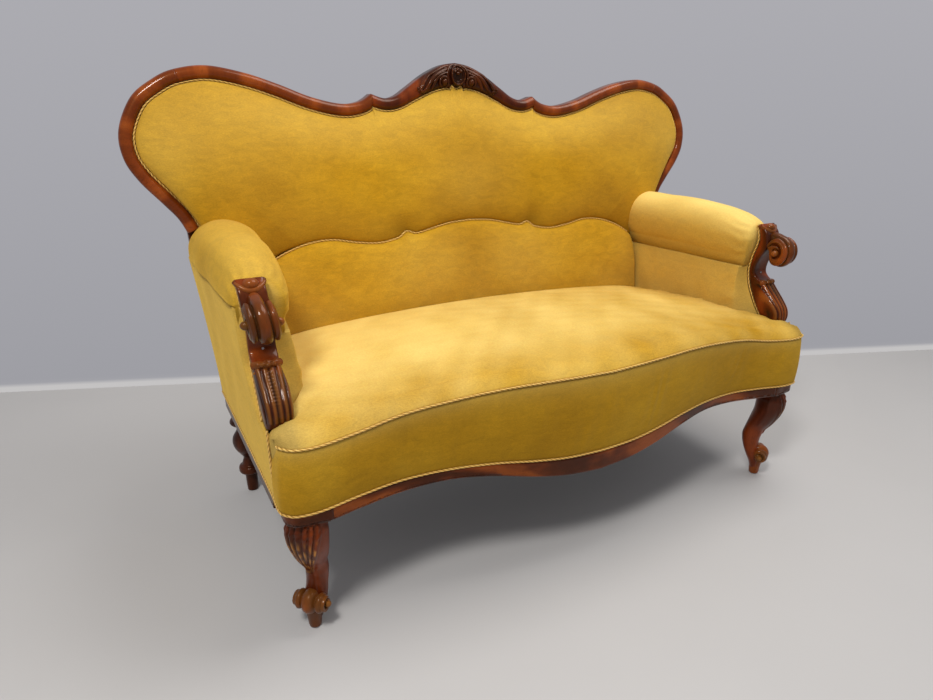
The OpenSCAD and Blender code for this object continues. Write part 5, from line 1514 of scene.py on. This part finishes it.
# %% [markdown]
# ## Arm facings
#
# The facing closes the front of the arm. From the foot, a reeded husk curves back to a rolled
# collar. Above it the neck swings back and up to a small rolled cap, and from the cap a ribbon
# pours forward, down and under itself to a spiral eye with a knob on each side. We loft squared
# rings between the facing's front and rear edges, carve four reeds and a beaded vein into the
# front, and add the ribbon, collar and cap as surfaces of their own.

# %% Facing surface
def facing_shell(levels=260, around=110):
    """Rings between the front and rear edge lines. The front side is pushed in and out by the
    reeds and the vein below the collar, and by a shallow spoon hollow above it."""
    s = np.linspace(0, 1, levels)
    front_edge = at_share(even(facing_front, 400), s)
    rear_edge = at_share(even(facing_rear[::-1], 400), s)
    mid, half = (front_edge + rear_edge) / 2, (rear_edge - front_edge) / 2
    a = np.linspace(-math.pi, math.pi, around, endpoint=False)[None, :]
    power = mix(0.62, 0.40, smooth((s - 0.38) / 0.08))[:, None]
    power = np.where(np.cos(a) > 0, power, 0.36)
    depth_share, width_share = -squared(np.cos(a), power), squared(np.sin(a), power)
    ss = s[:, None]
    taper = 1 - 0.10 * smooth((0.12 - ss) / 0.12)
    across = width_share * facing_w / 2 * taper
    across = across * (1 + 0.26 * smooth((0.42 - ss) / 0.22) * (across < 0))
    q = mid[:, None] + depth_share[..., None] * half[:, None]
    front_side = smooth((0.2 - depth_share) / 0.5)
    w = across / (facing_w / 2)
    husk = smooth((0.41 - ss) / 0.02) * smooth((ss - 0.01) / 0.04)
    reeds = np.abs(np.sin(w / (0.80 + 0.20 * smooth(ss / 0.4)) * math.tau)) ** 0.55
    beads = 0.65 + 0.35 * np.cos(ss * math.tau * 46)
    vein = np.exp(-((w / 0.10) ** 2)) * beads * smooth((ss - 0.12) / 0.05)
    neck = smooth((ss - 0.50) / 0.05) * smooth((0.97 - ss) / 0.04)
    push = husk * (5.0 * reeds - 4.2 + 3.4 * vein) - neck * 3.0 * (1 - w**2)
    push = push * front_side
    normal = unit(-half)[:, None]
    q = q + push[..., None] * normal
    grid = np.concatenate([(facing_x + across)[..., None], q], -1)
    # Painted shade darkens the grooves between the reeds, and more lightly the hollow neck above the collar.
    sunk = np.clip(husk * (1 - reeds) * 1.6 - 0.25, 0, 1) * front_side + 0.5 * neck * front_side
    high = np.clip((husk * reeds - 0.75) * 2, 0, 1) * front_side * 0.35
    return grid, high, sunk


def facing_at(across_share, up_share):
    """(depth, height) of a place given as shares of the facing's depth and height."""
    return np.array([facing_y + across_share * facing_d, facing_foot + up_share * facing_h])


print("facing helpers ready")

# %% Tables of the facings
shell, high, sunk = facing_shell()
scroll = facing_at(0.40, 0.735)
collar = facing_at(0.58, 0.385)
cap = facing_at(0.88, 0.95)
ribbon_reach = [
    [-30, 24], [0, 27], [20, 42], [38, 60], [52, 60], [66, 52], [82, 44], [110, 38], [141, 35],
    [167, 34], [201, 35], [241, 38], [267, 39], [295, 36], [328, 27], [360, 27],
]
ribbon_section = [
    [-16, 0.62], [-25, 0.66], [-24.4, 0.78], [-21.5, 0.87], [-16.5, 0.84], [-12.5, 0.72],
    [-10, 0.88], [-6, 0.97], [0, 1.0], [6, 0.97], [10, 0.88], [12.5, 0.72], [16.5, 0.84],
    [21.5, 0.87], [24.4, 0.78], [25, 0.66], [16, 0.62],
]
ribbon_limit = 44


def section_hollow(section, around=160):
    """How deep each place across a ribbon lies in a channel, for painted shade in it."""
    line = curve(section, 5)
    deep = np.exp(-(((np.abs(line[:, :1]) - 12.5) / 2.4) ** 2))
    return 0.8 * deep * np.ones((1, around))


channel_shade = section_hollow(ribbon_section)
print("facing shell", shell.shape[:2], "ribbon limit", ribbon_limit, "mm")


# %% Both facings
def facing_ornaments():
    """Ribbon scroll, collar and cap of one facing, each as (grid, worn, hollow)."""
    centre = np.array([facing_x, scroll[0], scroll[1]])
    across, back, forward = (1, 0, 0), (0, 1, 0), {"reference": (0, 1, 0)}
    ribbon = scroll_roll(centre, ribbon_reach, ribbon_section, across, back, side_limit=ribbon_limit)
    yield ribbon, 0.06, channel_shade
    for s in (-1, 1):
        disc, groove = scroll_side(
            centre + [s * 24.2, 0, 0], ribbon_reach, 0.76, (s, 0, 0), back, 3.0, 8.0, limit=ribbon_limit
        )
        yield disc, 0.08, 0.6 * groove
        yield ball(centre + [s * 28, 0, -1], 8.5, (1.25, 1, 1), 16, 24), 0.15, 0.0
    w = np.linspace(-1, 1, 60)
    arch = collar[1] - 3 * w * w
    sweep = collar[0] + 1 + 9 * w * w
    lobes = 1 + 0.16 * np.cos(w * math.pi * 3) * (1 - w * w)
    yield rolled(np.stack([facing_x + 25 * w, sweep, arch + 5], 1), 7.5 * lobes, **forward), 0.10, 0.0
    yield rolled(np.stack([facing_x + 24.5 * w, sweep - 7, arch - 7], 1), 2.8, **forward), 0.30, 0.0
    for k in (-1, 0, 1):
        bead = (facing_x + 9.5 * k, collar[0] - 6.5 + 2 * abs(k), collar[1] + 7)
        yield ball(bead, 4.6, (1.2, 1, 1)), 0.15, 0.0
    curl = np.abs(w)
    tips = np.stack([facing_x + 27 * w, cap[0] - 12 * (1 - w * w), cap[1] - 7 + 14 * curl**2.2], 1)
    thick = 7.2 - 4.6 * curl**2.5
    yield rolled(tips, thick, **forward), 0.12, 0.1
    yield rolled(tips + [0, 9, 1], thick + 1.5, **forward), 0.05, 0.45
    yield ball((facing_x, cap[0] - 4, cap[1] + 3), 14.0, (1.05, 1.0, 0.82), 20, 32), 0.10, 0.0


for side, name in SIDES:
    parts = []
    for grid, worn, deep in ((shell, high, sunk), *facing_ornaments()):
        leaning = np.concatenate([grid[..., :1] + splay(grid[..., 2:]), grid[..., 1:]], -1)
        parts.append(carved_part(on_side(leaning, side), worn, deep))
    facing = carved_piece(f"arm_facing_{name}", parts, carved_wood)
print("facings", len(facing.data.polygons), "faces each")

# %% [markdown]
# ## Carving on the crest
#
# The applied carving sits on the face of the crest: a rimmed cup in the middle, a ball in a
# C-scroll on each side, and leaves that flow out along the rail. Each ornament is a small surface
# laid on the crest's own face: an angle and a radius for the cup, and for each leaf a few beads of
# changing thickness along curves, which read as its veins.

# %% Crest ornaments
lean_angle = math.atan(lean)
crest_origin = np.array([0, plane_y(height), height])
face_up = np.array([0, math.sin(lean_angle), math.cos(lean_angle)])
face_out = np.array([0, -math.cos(lean_angle), math.sin(lean_angle)])


def on_crest(grid):
    """From (across, up from the crest's top, out from its face) to the sofa. The face is a half
    round, so every ornament bends back with it towards the top edge, and stays below that edge."""
    x, up, out = (grid[..., c] for c in range(3))
    edge = np.interp(np.abs(x), crest_line[:, 0], crest_line[:, 1]) - height
    wide = np.interp(np.abs(x), crest_line[:, 0], crest_width)
    up = np.minimum(up, edge - 1.0)
    s = np.clip((edge - up) / wide, 0.03, 1)
    fall = rail_round * (1 - np.sin(math.pi * s)) * np.where(s < 0.5, 0.95, 0.45)
    place = np.stack([x, up, out - fall], -1)
    return crest_origin + place[..., :1] * [1, 0, 0] + place[..., 1:2] * face_up + place[..., 2:] * face_out


def rosette(drop, radius, out):
    """A cup with a raised rim, taller than wide: its height is a function of the radius, and the
    rim is scalloped by a wave of the angle. The cup is deep below and shallow above."""
    r = np.linspace(1, 0.015, 56)[:, None]
    a = np.linspace(0, math.tau, 120, endpoint=False)[None, :]
    rim = (5.5 + 0.8 * np.cos(a * 12)) * np.exp(-(((r - 0.86) / 0.09) ** 2))
    ring = 2.2 * np.exp(-(((r - 0.62) / 0.07) ** 2))
    cup = -3.5 * smooth((0.72 - r) / 0.2) * (0.65 - 0.35 * np.sin(a))
    fall = -9 * smooth((r - 0.93) / 0.07)
    h = out + 5 + rim + ring + cup + fall
    # Painted shade: the inside of the cup, within its rim and ring, is darkened.
    hollow = np.clip(1 - (rim + ring) / 2.2, 0, 1) * smooth((0.9 - r) / 0.05) * np.ones_like(a)
    high = np.clip((rim - 3.5) / 2, 0, 1) + 0 * a
    grid = np.stack(np.broadcast_arrays(radius * r * np.cos(a), -drop + 1.22 * radius * r * np.sin(a), h), -1)
    return grid, high, hollow


def swept(route, radii, out):
    """A round bead of changing thickness along a flat route on the crest's face."""
    return rolled(np.column_stack([route, np.full(len(route), out)]), radii)


def strand(points, thick, out):
    """One flowing vein of a leaf: a bead along a curve, thickest before its middle, that keeps
    below the top edge of the crest."""
    line = even(curve(points, 10), 70)
    w = np.linspace(0, 1, 70)
    radii = thick * (0.30 + 0.70 * np.sin(math.pi * np.clip(w * 0.9 + 0.06, 0, 1)) ** 0.8)
    edge = np.interp(np.abs(line[:, 0]), crest_line[:, 0], crest_line[:, 1]) - height
    return swept(np.column_stack([line[:, 0], np.minimum(line[:, 1], edge - radii - 1.5)]), radii, out)


print("crest helpers ready")

# %% Crest carving
face_z = rail_round + gap
cup, cup_high, cup_deep = rosette(34, 23.5, face_z + 1)
parts = [carved_part(on_crest(cup), cup_high * 0.4, cup_deep)]
for x, up in ((0, -19), (-8.5, -24), (8.5, -24), (0, -30)):
    parts.append(carved_part(on_crest(ball((x, up, face_z + 5), 5.4, (1, 1, 0.9))), 0.12))
leaf_strands = (
    ([[22, -8], [40, -12], [61, -20], [84, -33], [97, -47], [109, -62], [116, -74]], 5.6, 1.5),
    ([[28, -18], [44, -23], [62, -32], [76, -44], [86, -58], [96, -72], [108, -80]], 6.0, 2.5),
    ([[30, -27], [44, -32], [57, -39], [68, -50], [74, -61], [79, -71]], 5.4, 1.5),
    ([[36, -24], [52, -29], [68, -38], [80, -50], [90, -62]], 4.2, 4.0),
    ([[4, -5], [17, -8], [27, -18], [31, -32], [29, -46]], 4.4, 2.5),
    ([[92, -40], [101, -52], [108, -66], [118, -76], [124, -72]], 3.4, 3.5),
)
leaf_beads = ((111.0, -77.0, 4.6), (121.0, -70.0, 3.4))
turn = np.radians(np.linspace(-60, 250, 80))
widen = (12.0 + 2.0 * np.linspace(1, 0, 80))[:, None]
for side in (-1, 1):
    eye = np.array([side * 41.0, -52.5])
    scroll_line = eye + widen * np.stack([side * np.cos(turn), np.sin(turn)], 1)
    thick = 2.4 + 1.6 * np.sin(np.linspace(0, math.pi, 80))
    parts.append(carved_part(on_crest(swept(scroll_line, thick, face_z + 4)), 0.12))
    parts.append(carved_part(on_crest(ball((*eye, face_z + 5), 8.5, (1, 1, 0.9), 18, 30)), 0.15))
    for points, thick, lift in leaf_strands:
        vein = strand(np.array(points) * [side, 1.0], thick, face_z + lift)
        parts.append(carved_part(on_crest(vein), 0.08))
    for x, up, size in leaf_beads:
        parts.append(carved_part(on_crest(ball((side * x, up, face_z + 4), size)), 0.12))
carving = carved_piece("crest_carving", parts, dark_wood)
print("crest carving", len(carving.data.polygons), "faces")

# %% [markdown]
# ## Springs
#
# Under the hessian stand waisted coil springs in two rows. A coil is a circle carried upwards three
# times round, with a radius that falls towards the middle of its height and grows again. The wire
# is a thin ring carried along that line. Nobody sees the springs, so the ring has eight points only.

# %% Springs
spring_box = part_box("seat_springs")
spring_front, spring_rear = (spring_box[k][1] / MM for k in (0, 1))
spring_low, spring_high = (spring_box[k][2] / MM for k in (0, 1))
columns, coils, wire_r, mouth_r = 6, 3, 2, 48
pitch_x = 2 * (half_seat - seat_rail_t) / columns
t = np.linspace(0, 1, 220)
r = mouth_r * mix(0.62, 1, np.abs(2 * t - 1) ** 1.5)
a = t * coils * math.tau
coil = np.stack([r * np.cos(a), r * np.sin(a), mix(spring_low + wire_r, spring_high - wire_r, t)], 1)
tangent = unit(np.gradient(coil, axis=0))
u = unit(np.cross(tangent, [0, 0, 1.0]))[:, None]
v = np.cross(tangent, u[:, 0])[:, None]
a = np.linspace(0, math.tau, 8, endpoint=False)[None, :, None]
wire = coil[:, None] + wire_r * (np.cos(a) * u + np.sin(a) * v)
springs = [
    tube(wire + [(i + 0.5 - columns / 2) * pitch_x, y, 0])
    for i in range(columns) for y in (spring_front + mouth_r + wire_r, spring_rear - mouth_r - wire_r)
]
dress("seat_springs", merged(springs), spring_steel)
print("springs", len(springs), "coils")

# %% [markdown]
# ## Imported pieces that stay
#
# The straight rails, posts and blocks, the screws and the straps of webbing are already as fine as
# they need to be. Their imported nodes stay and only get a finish: polish where wood can be seen,
# bare wood inside, and a woven material on the straps.

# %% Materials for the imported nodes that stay
finishes = {
    "side_rail_left": figured_veneer, "side_rail_right": figured_veneer, "rear_rail": dark_wood,
    "back_post_left": dark_wood, "back_post_right": dark_wood,
    "facing_screws": screw_steel, "seat_webbing": webbing, "back_webbing": webbing,
}
plain = [
    "centre_rail", "corner_blocks", "lower_back_rail", "centre_stile",
    "arm_stump_left", "arm_stump_right", "arm_top_rail_left", "arm_top_rail_right", "arm_low_rail_left",
    "arm_low_rail_right",
]
finishes.update({name: frame_wood for name in plain})
for name, material in finishes.items():
    node = bpy.data.objects[name]
    if not node.material_slots:
        node.data.materials.append(material)
    for place in node.material_slots:
        place.material = material
print("finished", len(finishes), "packed nodes")

# %% [markdown]
# ## Floor, light and camera
#
# A pale floor meets a plain grey backdrop behind the sofa. One soft lamp hangs above, and a smaller
# one on the left in front throws the shadow on the floor. The world gives the rest, so that colours
# render about as written. The camera stands at the left front corner, just above the arms.

# %% Stage helpers
def stage_material(name, colour, rough):
    """A plain painted surface with the faintest unevenness."""
    material, tree, shader = new_material(name, Roughness=rough, Specular_IOR_Level=0.2)
    darker = tuple(0.96 * c for c in colour[:3]) + (1,)
    film = ramp(tree, noise(tree, "Object", 1.2), [(0.3, colour), (0.7, darker)])
    tree.links.new(film, shader.inputs["Base Color"])
    return material


def stage_square(name, corners, material):
    """A flat piece of the stage between four corners."""
    mesh = bpy.data.meshes.new(name)
    mesh.from_pydata(corners, [], [(0, 1, 2, 3)])
    mesh.materials.append(material)
    thing = bpy.data.objects.new(name, mesh)
    bpy.context.scene.collection.objects.link(thing)


def backdrop_material(name, foot, low, high, top):
    """A backdrop that only the camera sees, and only from its painted side: it neither lights nor
    shades the sofa, and views from behind look through it. It glows with its own colour as painted light,
    paler upwards."""
    material = bpy.data.materials.new(name)
    material.use_nodes = True
    tree = material.node_tree
    tree.nodes.clear()
    place = add_node(tree, "ShaderNodeTexCoord").outputs["Object"]
    split = add_node(tree, "ShaderNodeSeparateXYZ")
    tree.links.new(place, split.inputs["Vector"])
    share = add_node(tree, "ShaderNodeMapRange", {"From Min": 0.0, "From Max": top})
    tree.links.new(split.outputs["Z"], share.inputs["Value"])
    colour = ramp(tree, share.outputs["Result"], [(0.0, foot), (0.005, foot), (0.008, low), (1.0, high)])
    # Painted light: the backdrop glows with its own colour instead of being lit.
    glow = add_node(tree, "ShaderNodeEmission")
    tree.links.new(colour, glow.inputs["Color"])
    clear = add_node(tree, "ShaderNodeBsdfTransparent")
    painted_side = add_node(tree, "ShaderNodeMath", {0: 1.0}, operation="SUBTRACT")
    tree.links.new(add_node(tree, "ShaderNodeNewGeometry").outputs["Backfacing"], painted_side.inputs[1])
    path = add_node(tree, "ShaderNodeLightPath").outputs
    looked_at = path["Is Camera Ray"]
    for ray in ("Is Glossy Ray", "Is Transmission Ray"):
        either = add_node(tree, "ShaderNodeMath", operation="MAXIMUM")
        tree.links.new(looked_at, either.inputs[0])
        tree.links.new(path[ray], either.inputs[1])
        looked_at = either.outputs["Value"]
    seen = add_node(tree, "ShaderNodeMath", operation="MULTIPLY")
    tree.links.new(looked_at, seen.inputs[0])
    tree.links.new(painted_side.outputs["Value"], seen.inputs[1])
    choice = add_node(tree, "ShaderNodeMixShader")
    tree.links.new(seen.outputs["Value"], choice.inputs["Fac"])
    tree.links.new(clear.outputs["BSDF"], choice.inputs[1])
    tree.links.new(glow.outputs["Emission"], choice.inputs[2])
    out = add_node(tree, "ShaderNodeOutputMaterial")
    tree.links.new(choice.outputs["Shader"], out.inputs["Surface"])
    return material


print("stage helpers ready")

# %% Floor, backdrop and world
floor_low, wall_top = -0.002, 4.0
stage_square(
    "floor", [(-9, -7, floor_low), (9, -7, floor_low), (9, 9, floor_low), (-9, 9, floor_low)],
    stage_material("floor_paint", linear(198, 196, 195), 0.55),
)
wall_left, wall_right = (-6.0, 3.114), (5.0, -0.953)
stage_square(
    "backdrop",
    [(*wall_left, floor_low), (*wall_right, floor_low), (*wall_right, wall_top), (*wall_left, wall_top)],
    backdrop_material(
        "backdrop_paint", linear(196, 194, 194), linear(158, 158, 164), linear(196, 195, 200), wall_top
    ),
)
world = bpy.data.worlds.new("studio")
bpy.context.scene.world = world
world.use_nodes = True
daylight = world.node_tree.nodes["Background"]
daylight.inputs["Color"].default_value = (0.97, 0.97, 1.0, 1)
daylight.inputs["Strength"].default_value = 0.38
print("floor, backdrop and world made")


# %% Lamps and camera
def lamp(name, place, target, size, watts, colour):
    """A square soft lamp that looks at a point."""
    data = bpy.data.lights.new(name, "AREA")
    data.size, data.energy, data.color = size, watts, colour
    thing = bpy.data.objects.new(name, data)
    thing.location = place
    direction = np.array(target, float) - np.array(place, float)
    yaw = math.atan2(direction[0], -direction[1])
    pitch = math.acos(-direction[2] / np.linalg.norm(direction))
    thing.rotation_euler = (pitch, 0, yaw + math.pi)
    bpy.context.scene.collection.objects.link(thing)


warm_white = (1.0, 0.98, 0.95)
lamp("ceiling", (0.9, -0.3, 3.0), (0.1, 0, 0.4), 1.5, 43, warm_white)
lamp("front_fill", (-1.6, -1.5, 3.0), (-0.2, 0, 0.4), 0.6, 58, warm_white)
camera = bpy.data.cameras.new("camera")
camera.lens, camera.sensor_width, camera.clip_start, camera.clip_end = 24.36, 36, 0.01, 60
viewpoint = bpy.data.objects.new("camera", camera)
viewpoint.location = (-0.8445, -1.3470, 0.9781)
viewpoint.rotation_euler = (math.radians(69.805), 0, math.radians(-27.284))
bpy.context.scene.collection.objects.link(viewpoint)
bpy.context.scene.camera = viewpoint
bpy.context.scene.view_settings.view_transform = "Standard"
print("stage, lamps and camera set")
